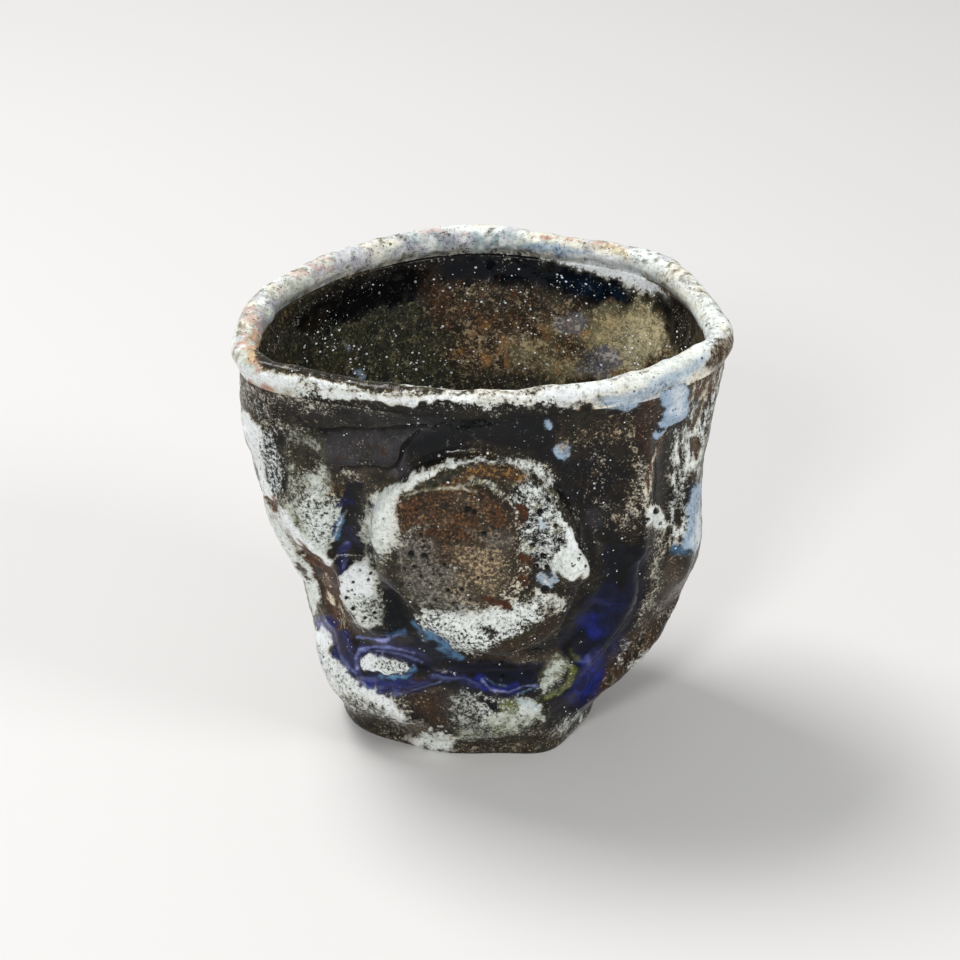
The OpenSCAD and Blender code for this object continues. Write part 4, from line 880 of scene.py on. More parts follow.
class Coat:
    """The glaze over a map of points: two colours, their pattern, and the relief in mm."""

    def __init__(self, points, normals, seed, turned=0.02):
        self.points = points
        shape = points.shape[:-1]
        self.under = np.zeros(shape + (3,))
        self.over = np.zeros(shape + (3,))
        self.cover = np.full(shape, spread_of(0.1))
        for name in SURFACE[1:] + ("relief",):
            setattr(self, name, np.zeros(shape))
        down = math.radians(CAMERA_DOWN)
        forward = np.array([0, math.cos(down), -math.sin(down)])
        up = np.array([0, math.sin(down), math.cos(down)])
        away = points - np.array(CAMERA_MM)
        depth = away @ forward
        self.u = HALF_PICTURE + CAMERA_PIXELS * away[..., 0] / depth
        self.v = HALF_PICTURE - CAMERA_PIXELS * (away @ up) / depth
        sight = away / np.linalg.norm(away, axis=-1, keepdims=True)
        self.facing = smooth_step((-(normals * sight).sum(-1) - turned) / FACING_BAND)
        angle = np.degrees(np.arctan2(points[..., 1], points[..., 0]))
        self.angle = np.where(angle < -90, angle + 360, angle)
        self.height = points[..., 2]
        self.heading = (1.0, 0.0)
        self.bend_u, self.bend_v = (uneven(points, (3.0, seed + k, 7.0, 1), (1.1, seed + k + 1, 4.0, 1))
                                    for k in (5, 7))
        self.wobble = uneven(points, (3.2, seed + 3, 0.9, 1), (1.3, seed + 1, 1, 1), (0.55, seed + 2, 1.1, 1))

    def dress(self, ground, clouds, marks):
        """Lay the ground all over, then clouds of other finishes, then the marks."""
        self.lay(np.ones(self.u.shape), ground)
        for size, seed, level, steep, amount, values in clouds:
            self.lay(smooth_step((grain(self.points, size, seed) - level) * steep) * amount, values)
        for table, around in marks:
            for mark in marks_of(table):
                self.mark(*mark, around)

    def lay(self, mask, values):
        for name, value in values.items():
            if name in ("under", "over"):
                layer = getattr(self, name)
                layer += mask[..., None] * (LINEAR[value] - layer)
            elif name in SURFACE:
                layer = getattr(self, name)
                layer += mask * ((spread_of(value) if name == "cover" else value) - layer)
        if "bands" in values:
            touched = mask > 0.01
            along, across = self.stream(touched, values["flow"])
            field = grain(np.stack([along, across, 0 * along], -1), 1.0, 401 + int(values["flow"]))
            place = np.clip((field - 0.5) * 1.5 + 0.5, 0, 1) * (len(values["bands"]) - 1)
            first = np.minimum(place.astype(int), len(values["bands"]) - 2)
            share = smooth_step(place - first)[:, None]
            ramp = np.array([LINEAR[c] for c in values["bands"]])
            flowing = ramp[first] * (1 - share) + ramp[first + 1] * share
            self.under[touched] += mask[touched][:, None] * (flowing - self.under[touched])
        for k, (colour, share, size) in enumerate(values.get("veins", ())):
            touched = mask > 0.02
            field = grain(self.points[touched] * VEIN_STRETCH, size, 301 + 7 * k + int(10 * size))
            field = 0.6 * field + 0.4 * grain(self.points[touched], size * 0.4, 302 + 7 * k)
            part = smooth_step((field - (0.72 - 0.44 * share)) * 6.0) * mask[touched]
            self.under[touched] += part[..., None] * (LINEAR[colour] - self.under[touched])

    def stream(self, touched, size):
        """Places along and across the flow of the mark being laid, in sizes of its bands."""
        u, v = self.u[touched], self.v[touched]
        c, w = self.heading
        bend = 6.0 * (grain(self.points[touched], 2.5, 5) - 0.5)
        return (c * u + w * v) / (size * STREAM_LENGTH), (c * v - w * u + bend) / size

    def mark(self, finish, form, numbers, points, around):
        """Lay one mark: in the photograph's pixels, or round the cup."""
        amount, soft, ragged, relief = (*numbers, 0.0)[:4]
        values = FINISHES[finish]
        pts = np.array(points)
        if around:
            u, v, seen, bend = self.angle * DEGREE_MM, self.height, np.ones(self.u.shape), AROUND_BEND
            pts[:, 0] *= DEGREE_MM
        else:
            u, v, seen, bend = self.u, self.v, self.facing, 1.0
        width = pts[:, 2].max() if form in ("taper", "dots") else 0.0 if form == "area" else form
        soft_edge = soft * values.get("edge", 1.0)
        margin = soft_edge + 1.5 * ragged + width + 6
        near = ((u > pts[:, 0].min() - margin) & (u < pts[:, 0].max() + margin)
                & (v > pts[:, 1].min() - margin) & (v < pts[:, 1].max() + margin) & (seen > 0))
        if not near.any():
            return
        un, vn = u[near], v[near]
        if form != "dots" and ragged >= BENT_FROM:
            un, vn = un + self.bend_u[near] * bend, vn + self.bend_v[near] * bend
        middle = pts[:, :2] - pts[:, :2].mean(0)
        long_way = np.linalg.eigh(middle.T @ middle)[1][:, -1]
        self.heading = long_way * (1 if long_way[0] > 0 else -1)
        if form == "area":
            away = from_area(un, vn, pts)
        elif form == "dots":
            away = np.min([np.hypot(un - x, vn - y) - r for x, y, r in pts], axis=0)
        else:
            away = from_line(un, vn, pts, 0 if form == "taper" else form)
        edge = away + ragged * self.wobble[near]
        part = smooth_step(0.5 - edge / (2 * soft_edge)) * amount * seen[near]
        if "broken" in values:
            part *= smooth_step((grain(self.points[near], values["broken"], 7) - 0.3) * 3.0)
        mask = np.zeros(self.u.shape)
        mask[near] = part
        self.lay(mask, values)
        if relief:
            self.relief[near] += relief * smooth_step(0.5 - away / (2 * soft_edge)) * seen[near]


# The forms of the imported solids, read by rays

def tree_of(name):
    mesh = NODES[name].data
    co = np.zeros(len(mesh.vertices) * 3)
    mesh.vertices.foreach_get("co", co)
    return BVHTree.FromPolygons([Vector(p) for p in co.reshape(-1, 3) / MM], [list(p.vertices) for p in mesh.polygons])


def ring_angles(count, crowd):
    """Angles of the columns round the cup, closer together at the front."""
    x = 2 * np.arange(count) / count
    return 270 + 180 * x - 180 * crowd * np.sin(np.pi * x)


def cast_in(tree, angles, heights):
    """Distance of a solid's outer face from the cup's axis; 0 where a ray misses."""
    out = np.zeros((len(heights), len(angles)))
    for i, a in enumerate(np.radians(angles)):
        c, s = math.cos(a), math.sin(a)
        way = Vector((-c, -s, 0))
        for j, z in enumerate(heights):
            hit = tree.ray_cast(Vector((RAY_START_MM * c, RAY_START_MM * s, z)), way, RAY_START_MM)
            if hit[0] is not None:
                out[j, i] = RAY_START_MM - hit[3]
    return out


def cast_out(tree, origins, ways):
    """Distance from each origin to the first face along its way; both are (rows, columns, 3)."""
    out = np.zeros(origins.shape[:2])
    for j in range(origins.shape[0]):
        for i in range(origins.shape[1]):
            hit = tree.ray_cast(Vector(origins[j, i]), Vector(ways[j, i]))
            out[j, i] = hit[3] if hit[0] is not None else 0.0
    return out


def filled_between(values):
    """Columns cast at every second angle, with the columns between them put halfway."""
    full = np.empty(values.shape[:-1] + (2 * values.shape[-1],))
    full[..., ::2] = values
    full[..., 1::2] = (values + np.roll(values, -1, -1)) / 2
    return full


def normals_of(points):
    """Unit normals of a map of points whose columns run round the cup."""
    du = np.roll(points, -1, 1) - np.roll(points, 1, 1)
    n = np.cross(du, np.gradient(points, axis=0))
    return n / np.maximum(np.linalg.norm(n, axis=-1, keepdims=True), 1e-9)


def ring_points(angles, heights, radii):
    """Points round the cup's axis; heights are one for each row, or one for each point."""
    a = np.radians(angles)[None, :]
    return np.stack([radii * np.cos(a), radii * np.sin(a), np.broadcast_to(heights, radii.shape)], -1)


def outwards_of(points):
    """Level unit ways from the cup's axis to the points."""
    level = points * LEVEL
    return level / np.linalg.norm(level, axis=-1, keepdims=True)


# Meshes

def grid_faces(rows, cols):
    """Faces of a map of points, rows upwards and columns anticlockwise, pointing outwards."""
    j, i = np.meshgrid(np.arange(rows - 1), np.arange(cols), indexing="ij")
    k = (i + 1) % cols
    return np.stack([j * cols + i, j * cols + k, (j + 1) * cols + k, (j + 1) * cols + i], -1).reshape(-1, 4)


def fan(start, count, middle, turned=False):
    """Triangles from a ring of so many points, numbered from start, to a middle point."""
    i = start + np.arange(count)
    k = start + (np.arange(count) + 1) % count
    return np.stack([k, i, np.full(count, middle)] if turned else [i, k, np.full(count, middle)], 1)


def store_coat(mesh, values):
    """Store a coat's colours and surface on a mesh's points."""
    for key, part in zip(("under", "over", "surface"), values):
        layer = mesh.color_attributes.new(key, "FLOAT_COLOR", "POINT")
        layer.data.foreach_set("color", np.ascontiguousarray(part, np.float32).ravel())


def finished(name, mesh, replaced=()):
    """Put a mesh in the scene as a smooth piece of the cup."""
    mesh.polygons.foreach_set("use_smooth", np.ones(len(mesh.polygons), bool))
    mesh.update()
    piece = bpy.data.objects.new(name, mesh)
    bpy.context.scene.collection.objects.link(piece)
    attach(piece, "root")
    if replaced:
        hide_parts(*replaced)


def new_piece(name, verts, quads, coat_values, slot, replaced, tris=()):
    """A finished piece in the cup's frame from points in mm, its faces and its coat's values."""
    mesh = bpy.data.meshes.new(name)
    faces = [tuple(q) for q in quads] + [tuple(t) for t in tris]
    mesh.from_pydata((np.asarray(verts) * MM).tolist(), [], faces)
    mesh.validate()
    store_coat(mesh, coat_values)
    mesh.materials.append(material_for(slot))
    finished(name, mesh, replaced)


def coat_arrays(coat, where=slice(None)):
    """A coat's values over the rows or points of its map that where picks, as flat RGBA arrays."""
    n = coat.cover[where].size
    one = np.ones((n, 1))
    return [np.concatenate([coat.under[where].reshape(n, 3), one], 1),
            np.concatenate([coat.over[where].reshape(n, 3), one], 1),
            np.stack([getattr(coat, key)[where].reshape(n) for key in SURFACE], 1)]


def plain_coat(under, over, surface, count):
    """One coat's values for so many points."""
    return [np.tile(value, (count, 1)) for value in ((*LINEAR[under], 1.0), (*LINEAR[over], 1.0), surface)]


def joined(*parts):
    return [np.concatenate(p) for p in zip(*parts)]


# Materials

class Wire:
    """A socket of the node tree that takes part in sums."""

    def __init__(self, tree, socket):
        self.tree, self.socket = tree, socket

    def maths(self, operation, *values):
        return node(self.tree, "ShaderNodeMath", {"operation": operation}, dict(enumerate(values)))

    def __add__(self, other):
        return self.maths("ADD", self, other)

    def __sub__(self, other):
        return self.maths("SUBTRACT", self, other)

    def __mul__(self, other):
        return self.maths("MULTIPLY", self, other)

    def __rsub__(self, other):
        return self.maths("SUBTRACT", other, self)

    __radd__ = __add__
    __rmul__ = __mul__

    def clamped(self):
        return node(self.tree, "ShaderNodeClamp", {}, {0: self})

    def beside(self, output):
        """Another output of the same node."""
        return Wire(self.tree, self.socket.node.outputs[output])


def feed(made, values):
    """Give a node's sockets, by name or number, their values or links."""
    for key, value in values.items():
        if isinstance(value, Wire):
            value.tree.links.new(value.socket, made.inputs[key])
        else:
            made.inputs[key].default_value = value


def node(tree, kind, settings, values, output=0):
    """One node: its settings first, then values or links by socket name or number."""
    made = tree.nodes.new(kind)
    for key, value in settings.items():
        setattr(made, key, value)
    feed(made, values)
    return Wire(tree, made.outputs[output]) if made.outputs else None


def mixed(tree, factor, a, b):
    return node(tree, "ShaderNodeMix", {"data_type": "RGBA"}, {0: factor, 6: a, 7: b}, 2)


def parted(tree, colour):
    red = node(tree, "ShaderNodeSeparateColor", {}, {0: colour})
    return red, red.beside(1), red.beside(2)


def glaze_material(name, look):
    """Glaze of two colours in a crawled pattern, over the coat that the piece's points carry."""
    material = bpy.data.materials.new(name)
    material.use_nodes = True
    tree = material.node_tree
    place = node(tree, "ShaderNodeTexCoord", {}, {}, "Object")
    under, over, surface = (node(tree, "ShaderNodeAttribute", {"attribute_name": key}, {}, "Color")
                            for key in ("under", "over", "surface"))
    cover, coarse, gloss = parted(tree, surface)
    streak = surface.beside("Alpha")
    drawn = node(tree, "ShaderNodeMapping", {}, {"Vector": place, "Scale": (1.0, 1.0, look.streak_stretch)})

    def noise(vector, size_mm, detail=2.0, rough=0.55):
        return node(tree, "ShaderNodeTexNoise", {},
                    {"Vector": vector, "Scale": 1.0 / (size_mm * MM), "Detail": detail, "Roughness": rough})

    def dots(size_mm, radius, share, shift):
        """Round specks of a share of the cells of this size; radius is a share of the cell."""
        moved = node(tree, "ShaderNodeMapping", {}, {"Vector": place, "Location": (shift, shift, shift)})
        away = node(tree, "ShaderNodeTexVoronoi", {}, {"Scale": 1.0 / (size_mm * MM), "Vector": moved}, "Distance")
        lot, size, _ = parted(tree, away.beside("Color"))
        inside = ((size * 0.7 + 0.45) * radius - away) * (4.0 / radius)
        return inside.clamped() * ((share - lot) * 20.0).clamped()

    def toned(colour, value, saturation):
        return node(tree, "ShaderNodeHueSaturation", {}, {"Value": value, "Saturation": saturation, "Color": colour})

    fine = noise(place, look.fine_mm, 3.0, 0.62)
    tiny = noise(place, look.tiny_mm, 2.0, 0.6)
    broad = noise(place, look.coarse_mm, 5.0, 0.72)
    long = noise(drawn, look.fine_mm * 1.4, 3.0, 0.6)
    tint = noise(place, look.tint_mm, 3.0)
    shade = noise(place, look.shade_mm, 3.0, 0.6)
    matt = 1 - gloss
    pattern = fine + (broad - fine) * coarse
    pattern = pattern + (long - pattern) * streak + (tiny - 0.5) * 0.4
    # the colour attributes hold the cover in spreads of the noise, from -4 to 4
    limit = 0.5 + cover * look.pattern_spread
    depth = (limit - pattern) * look.pattern_edge
    shown = (depth + 0.5).clamped()
    thick = (depth * 0.7).clamped()
    # a coat whose pattern is finer than this is pitted all over
    pitted = ((PITTED_BELOW - coarse) * 12.0).clamped()
    dirt = ((0.4 - thick * 0.12 + (0.5 - tint) * 0.25 - tiny) * 22.0).clamped()
    pepper = dots(0.85, 0.27, pitted * 0.45 + 0.16, 0.0131) + dots(0.45, 0.3, pitted * 0.3 + 0.14, 0.0077)
    pepper = (pepper + dirt).clamped() * look.pepper * (shown + pitted).clamped()
    salt = (dots(1.3, 0.15, 0.2, 0.0213) + dots(0.6, 0.2, 0.1, 0.0171)).clamped()
    salt = salt * (1.0 - shown) * ((cover + 2.2) * 1.2).clamped() * look.salt
    # the glaze under: mottled, and speckled with grains of the glaze over it
    mottle = (tiny - 0.5) * look.mottle * (1.2 - gloss) + (broad - 0.5) * look.mottle * (1.3 - gloss)
    grains = ((tiny - 0.62 + (broad - 0.5) * 0.7 + cover * 0.02) * 12.0).clamped() * ((cover + 2.3) * 0.6).clamped()
    under_tone = mixed(tree, grains * 0.8, toned(under, mottle + 1.0, 1.05), over)
    # the glaze over: stained in its hollows, and thinner at its edges, where the glaze under shines through
    stained = ((0.5 - tiny) * 6.0 + (0.5 - shade) * 4.0).clamped() * 0.65
    over_tone = mixed(tree, stained, over, toned(over, 0.55, 1.3))
    over_tone = mixed(tree, thick, mixed(tree, 0.45, over_tone, under), over_tone)
    colour = mixed(tree, shown, under_tone, over_tone)
    colour = mixed(tree, pepper, colour, mixed(tree, 0.5, under, (*LINEAR["black"], 1)))
    colour = mixed(tree, salt, colour, (*LINEAR["snow"], 1))
    rough = 0.6 - gloss * 0.5 + (shade - 0.5) * 0.16 + shown * matt * 0.06
    height = (shown * 0.5 + thick * 0.4 + ((fine - 0.5) + (tiny - 0.5)) * 0.9 * matt + (shade - 0.5) * 0.5 * matt
              + (tint - 0.5) * 0.6 - pepper * 0.8 + salt * 0.6)
    bump = node(tree, "ShaderNodeBump", {}, {"Height": height, "Distance": look.bump_mm * MM, "Strength": 0.8})
    feed(tree.nodes["Principled BSDF"],
         {"Base Color": colour, "Roughness": rough.clamped(), "IOR": GLAZE_IOR, "Specular IOR Level": look.shine,
          "Normal": bump})
    return material


@cache
def material_for(slot):
    """The glaze of a material slot, made once."""
    return glaze_material(slot, bpy.context.scene.cup_glaze)


# Settings

class CupShape(bpy.types.PropertyGroup):
    columns: IntProperty(name="Columns", description="Columns of points round the cup", default=720, min=120)
    rows: IntProperty(name="Rows", description="Rows of points up the outside", default=340, min=60)
    crowd: FloatProperty(name="Front crowding", description="How far the columns crowd to the front", default=0.15,
                         min=0.0, max=0.3)
    wall_melt: FloatProperty(name="Wall melt", description="Softening of the wall's form, in columns", default=8.0)
    clay_melt: FloatProperty(name="Clay melt", description="Softening of the pressed clay's form, in columns",
                             default=4.0)
    ripple: FloatProperty(name="Ripple", description="Height of the hand-made unevenness in mm", default=0.16)


class CupGlaze(bpy.types.PropertyGroup):
    tiny_mm: FloatProperty(name="Grit", description="Size of the finest grit in mm", default=0.36)
    fine_mm: FloatProperty(name="Fine grain", description="Size of the fine pattern in mm", default=0.5)
    coarse_mm: FloatProperty(name="Coarse grain", description="Size of the coarse pattern in mm", default=1.5)
    tint_mm: FloatProperty(name="Tint", description="Size of the patches of dirt in mm", default=2.2)
    shade_mm: FloatProperty(name="Shade", description="Size of the stains in pale glaze in mm", default=0.6)
    streak_stretch: FloatProperty(name="Streak", description="Noise along a run against across it", default=0.22)
    pattern_spread: FloatProperty(name="Pattern spread", description="Usual spread of the pattern about its middle",
                                  default=0.12)
    pattern_edge: FloatProperty(name="Pattern edge", description="Sharpness of the pattern's edges", default=13.0)
    mottle: FloatProperty(name="Mottle", description="Strength of light and dark in matt glaze", default=4.0)
    pepper: FloatProperty(name="Pepper", description="Strength of the black pinholes in white glaze", default=0.9)
    salt: FloatProperty(name="Salt", description="Strength of the white specks in dark glaze", default=0.85)
    shine: FloatProperty(name="Shine", description="Strength of mirrored light, 0.5 is plain glass", default=0.17)
    specks: FloatProperty(name="Specks", description="Most white beads on a square mm", default=1.5, min=0.0)
    smallest_speck: FloatProperty(name="Smallest speck", description="Size of the smallest bead in mm", default=0.04)
    largest_speck: FloatProperty(name="Largest speck", description="Size of the largest bead in mm", default=0.24)
    bump_mm: FloatProperty(name="Bump", description="Depth of the finest texture in mm", default=0.2)


class CupStage(bpy.types.PropertyGroup):
    floor: FloatVectorProperty(name="Floor", description="Colour of the floor", subtype="COLOR", size=3,
                               default=(0.64, 0.63, 0.615), min=0.0, max=1.0)
    key_power: FloatProperty(name="Key light", description="Power of the main soft light", default=5.0, unit="POWER")
    fill_power: FloatProperty(name="Fill light", description="Power of the fill light", default=2.0, unit="POWER")
    world: FloatProperty(name="World", description="Strength of the even light", default=0.29)
    backdrop: FloatProperty(name="Backdrop", description="Strength of the backdrop, 1 is white", default=0.62)


# The cup's maps, made once and shared by the operators

@cache
def outer_map():
    """The outside as one map: the wall, what rises on it, and its coat."""
    shape = bpy.context.scene.cup_shape
    angles = ring_angles(shape.columns, shape.crowd)
    heights = np.linspace(EDGE_GAP_MM, WALL_TOP_MM - EDGE_GAP_MM, shape.rows)
    above_foot = heights[heights > FOOT_TOP_MM + 0.05]
    low = shape.rows - len(above_foot)
    cast_heights = above_foot[::CAST_ROWS]
    cast = filled_between(cast_in(tree_of("body_wall"), angles[::2], cast_heights))
    wall = np.zeros((shape.rows, shape.columns))
    for i in range(shape.columns):
        wall[low:, i] = np.interp(above_foot, cast_heights, cast[:, i])
    foot = filled_between(cast_in(tree_of("foot_slab"), angles[::2], [FOOT_TOP_MM / 2])[0])
    for j in range(low):
        edge = 1 - heights[j] / FOOT_EDGE_MM
        wall[j] = foot - (FOOT_EDGE_CUT_MM * edge * edge if edge > 0 else 0)
    wall = np.concatenate([blurred(wall[:low], 1.5, shape.wall_melt), blurred(wall[low:], 4.5, shape.wall_melt)])
    seam = slice(low - 4, low + 6)
    wall[seam] = blurred(wall, 2.0, 0)[seam]
    rise = np.zeros(wall.shape)
    owner = np.full(wall.shape, -1)
    for k, name in enumerate(CLAY):
        lo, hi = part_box(name)
        corner = np.degrees(np.arctan2([lo[1], lo[1], hi[1], hi[1]], [lo[0], hi[0], lo[0], hi[0]])) % 360
        near = np.where((angles % 360 > corner.min() - 2) & (angles % 360 < corner.max() + 2))[0]
        band = np.where((heights > lo[2] / MM - 0.5) & (heights < hi[2] / MM + 0.5))[0]
        if not len(near) or not len(band):
            raise RuntimeError(f"{name} lies outside the map")
        part = np.ix_(band, near)
        found = cast_in(tree_of(name), angles[near], heights[band])
        above = found - wall[part]
        better = (found > 0) & (above > rise[part])
        rise[part] = np.where(better, above, rise[part])
        owner[part] = np.where(better, k, owner[part])
    melted = blurred(closed_up(rise, 5, 6), 2.9, shape.clay_melt)
    points = ring_points(angles, heights[:, None], wall + melted)
    normals = normals_of(points)
    coat = Coat(points, normals, 11)
    coat.dress(OUTER_GROUND, OUTER_CLOUDS, ((AROUND_MARKS, True), (OUTER_MARKS, False)))
    # thick matt glaze is the rougher, and the foot's edge stays even
    thick = np.clip(coat.cover * 0.5 + 0.5, 0, 1)
    rough = thick * (1 - 0.6 * coat.gloss) + 0.25
    over_foot = smooth_step(heights / 3.0)[:, None]
    hand = uneven(points, (6.0, 31, 2.0, 1), (2.6, 32, 1.6, 1), (1.1, 34, 1.7, rough), (0.6, 33, 1.1, rough))
    hand = (hand * shape.ripple + COAT_MM * (thick - 0.5) * over_foot) * over_foot
    base = ring_points(angles, heights[:, None], wall)
    return SimpleNamespace(angles=angles, heights=heights, wall=wall, rise=melted, owner=owner, low=low, coat=coat,
                           points=points + normals * (coat.relief + hand)[..., None], base=base,
                           outwards=outwards_of(base))


@cache
def inner_map():
    """The inside from under the lip to the middle of the floor, and its coat."""
    shape = bpy.context.scene.cup_shape
    a = np.radians(ring_angles(shape.columns * 2 // 3, shape.crowd * -0.6))
    origins = np.zeros((INNER_ROWS, len(a), 3))
    ways = np.zeros_like(origins)
    top = WALL_TOP_MM - 0.1
    for j in range(INNER_ROWS):
        if j < LEVEL_ROWS:
            z, tilt = top - (top - TURN_MM) * j / LEVEL_ROWS, 0.0
        else:
            z, tilt = TURN_MM, math.radians(89.5) * (j - LEVEL_ROWS) / (INNER_ROWS - 1 - LEVEL_ROWS)
        origins[j] = (*BOWL_MIDDLE, z)
        ways[j] = np.stack([np.cos(a) * math.cos(tilt), np.sin(a) * math.cos(tilt),
                            np.full(len(a), -math.sin(tilt))], -1)
    far = cast_out(tree_of("body_wall"), origins[::CAST_ROWS, ::CAST_COLUMNS], ways[::CAST_ROWS, ::CAST_COLUMNS])
    wide = np.concatenate([far, far[:, :1]], 1)
    known = np.arange(wide.shape[1]) * CAST_COLUMNS
    full = np.stack([np.interp(np.arange(len(a)), known, row) for row in wide])
    rows = np.arange(INNER_ROWS)
    full = np.stack([np.interp(rows, rows[::CAST_ROWS], column) for column in full.T], 1)
    points = (origins + ways * blurred(full, 5.0, 9.0)[..., None])[::-1]
    normals = -normals_of(points)
    coat = Coat(points, normals, 41)
    coat.dress(INNER_GROUND, INNER_CLOUDS, ((INSIDE_MARKS, False),))
    lumps = uneven(points, (5.0, 61, 0.4, 1), (1.3, 62, 0.22, 1), (0.6, 63, 0.14, 1 - coat.gloss))
    return SimpleNamespace(points=points + normals * (coat.relief + lumps)[..., None], base=points,
                           normals=normals, coat=coat)


def read_round(angles, ring, *values):
    """Values known at a ring's points, read at other angles in degrees round the cup's axis."""
    found = np.degrees(np.arctan2(ring[:, 1], ring[:, 0])) % 360
    order = np.argsort(found)
    return [np.interp(angles % 360, found[order], v[order], period=360) for v in values]


@cache
def lip_map():
    """The rolled lip round its own middle line, from the wall's outside over the crest to its inside."""
    outer = outer_map()
    angles, tree = outer.angles, tree_of("lip_roll")
    a = np.radians(angles)
    middle_z = WALL_TOP_MM + 1.5
    outside = cast_in(tree, angles, [middle_z])[0]
    level = np.stack([np.cos(a), np.sin(a), 0 * a], -1)
    inside = cast_out(tree, np.zeros((1, len(a), 3)) + np.array([0, 0, middle_z]), level[None])[0]
    middle = blurred(((outside + inside) / 2)[None], 0, 6.0)
    turns = np.radians(np.linspace(*LIP_TURNS, LIP_ROWS))[:, None]
    origins = np.repeat(ring_points(angles, middle_z, middle)[:, ::2], LIP_ROWS, 0)
    ways = np.stack([np.cos(turns) * np.cos(a[::2]), np.cos(turns) * np.sin(a[::2]),
                     np.sin(turns) * np.ones(len(a[::2]))], -1)
    full = blurred(filled_between(cast_out(tree, origins, ways)), 2.6, 7.0)
    radial = middle + full * np.cos(turns)
    z = middle_z + full * np.sin(turns)
    # both feet of the roll run into the wall's faces just under its top
    top = inner_map().base[-1]
    inner_r, = read_round(angles, top, np.hypot(top[:, 0], top[:, 1]))
    foot = smooth_step(np.abs(np.linspace(-1, 1, LIP_ROWS)) * 4.2 - 3.2)[:, None]
    first = (np.arange(LIP_ROWS) < LIP_ROWS / 2)[:, None]
    edge_r = np.where(first, outer.wall[-1] + LIP_PROUD_MM, inner_r + LIP_COVER_MM)
    radial = radial * (1 - foot) + edge_r * foot
    z = z * (1 - foot) + (WALL_TOP_MM - LIP_FOOT_MM) * foot
    points = ring_points(angles, z, radial)
    normals = normals_of(points)
    coat = Coat(points, normals, 71, LIP_TURNED)
    coat.dress(LIP_GROUND, LIP_CLOUDS, ((LIP_MARKS, False),))
    rolled = uneven(points, (4.0, 91, 0.5, 1), (1.5, 92, 0.3, 1), (0.6, 93, 0.1, 1)) * (1 - foot)
    return SimpleNamespace(points=points + normals * (coat.relief + rolled)[..., None], coat=coat)


def patch(name, slot, keep, replaced=()):
    """A closed piece over the cells of the outer map that it keeps: the face, its skirt and a back."""
    outer = outer_map()
    rows, cols = keep.shape
    cells = keep & np.roll(keep, -1, 1)
    cells = cells[:-1] & cells[1:]
    if not cells.any():
        raise RuntimeError(f"{name} keeps no cells")
    used = np.zeros_like(keep)
    used[:-1] |= cells
    used[1:] |= cells
    used |= np.roll(used, 1, 1)
    # points on the edge of the patch go under the wall
    solid = np.ones_like(keep)
    padded = np.zeros((rows + 1, cols), bool)
    padded[1:-1] = cells
    for up, round_ in ((0, 0), (0, 1), (1, 0), (1, 1)):
        solid &= np.roll(padded[up:up + rows], round_, 1)
    index = -np.ones(keep.shape, int)
    index[used] = np.arange(used.sum())
    within = sum(spread(solid, -k).astype(float) for k in (1, 2, 3, 4)) / 4
    layer = CLAY.index(replaced[0]) % LAYERS if replaced else -1
    proud = (PROUD_MM + LAYER_MM * layer) * within - HIDDEN_MM * (1 - within) ** 2
    face = np.where(solid[..., None], outer.points + outer.outwards * proud[..., None],
                    outer.points - outer.outwards * SUNK_MM * 0.5)
    back = outer.base - outer.outwards * SUNK_MM
    thin = np.linalg.norm((face - back) * LEVEL, axis=-1) < THINNEST_MM
    back = np.where(thin[..., None], face - outer.outwards * THINNEST_MM, back)
    n = int(used.sum())
    j, i = np.nonzero(cells)
    k = (i + 1) % cols
    top = np.stack([index[j, i], index[j, k], index[j + 1, k], index[j + 1, i]], 1)
    below, above = np.zeros_like(cells), np.zeros_like(cells)
    below[1:] = cells[:-1]
    above[:-1] = cells[1:]
    quads = [top, top[:, ::-1] + n]
    for beside, p, q in ((below, 0, 1), (np.roll(cells, -1, 1), 1, 2), (above, 2, 3), (np.roll(cells, 1, 1), 3, 0)):
        open_side = (cells & ~beside)[j, i]
        s, t = top[open_side, p], top[open_side, q]
        quads.append(np.stack([t, s, s + n, t + n], 1))
    coat = coat_arrays(outer.coat, used)
    new_piece(name, np.concatenate([face[used], back[used]]), np.concatenate(quads), joined(coat, coat), slot,
              replaced)


def spread(keep, steps):
    """A kept region grown by so many cells, or shrunk where steps is below 0."""
    grown = keep.copy() if steps > 0 else ~keep
    for _ in range(abs(steps)):
        grown = grown | np.roll(grown, 1, 1) | np.roll(grown, -1, 1)
        grown[1:] |= grown[:-1].copy()
        grown[:-1] |= grown[1:].copy()
    return grown if steps > 0 else ~grown


def region(name):
    """Where a piece of clay rises over the wall, lapping a little over its neighbours."""
    outer = outer_map()
    return spread(outer.owner == CLAY.index(name), LAP) & (outer.rise > SHOWN_MM)


def covered_cells():
    """Cells of the outer map that a piece of clay or glass covers."""
    return np.any([region(name) for name in CLAY], 0)


def front_cells():
    """Cells of the wall's front that carry the thick glaze and lie under no clay."""
    outer = outer_map()
    keep = (outer.coat.facing > 0.2) & (outer.heights > FOOT_TOP_MM + 0.8)[:, None]
    keep[-3:] = False
    return keep & ~spread(covered_cells(), -LAP)


def lay_pieces(*names):
    for name in names:
        patch(name + "_glazed", CLAY_SLOTS[name], region(name), (name,))


# Operators

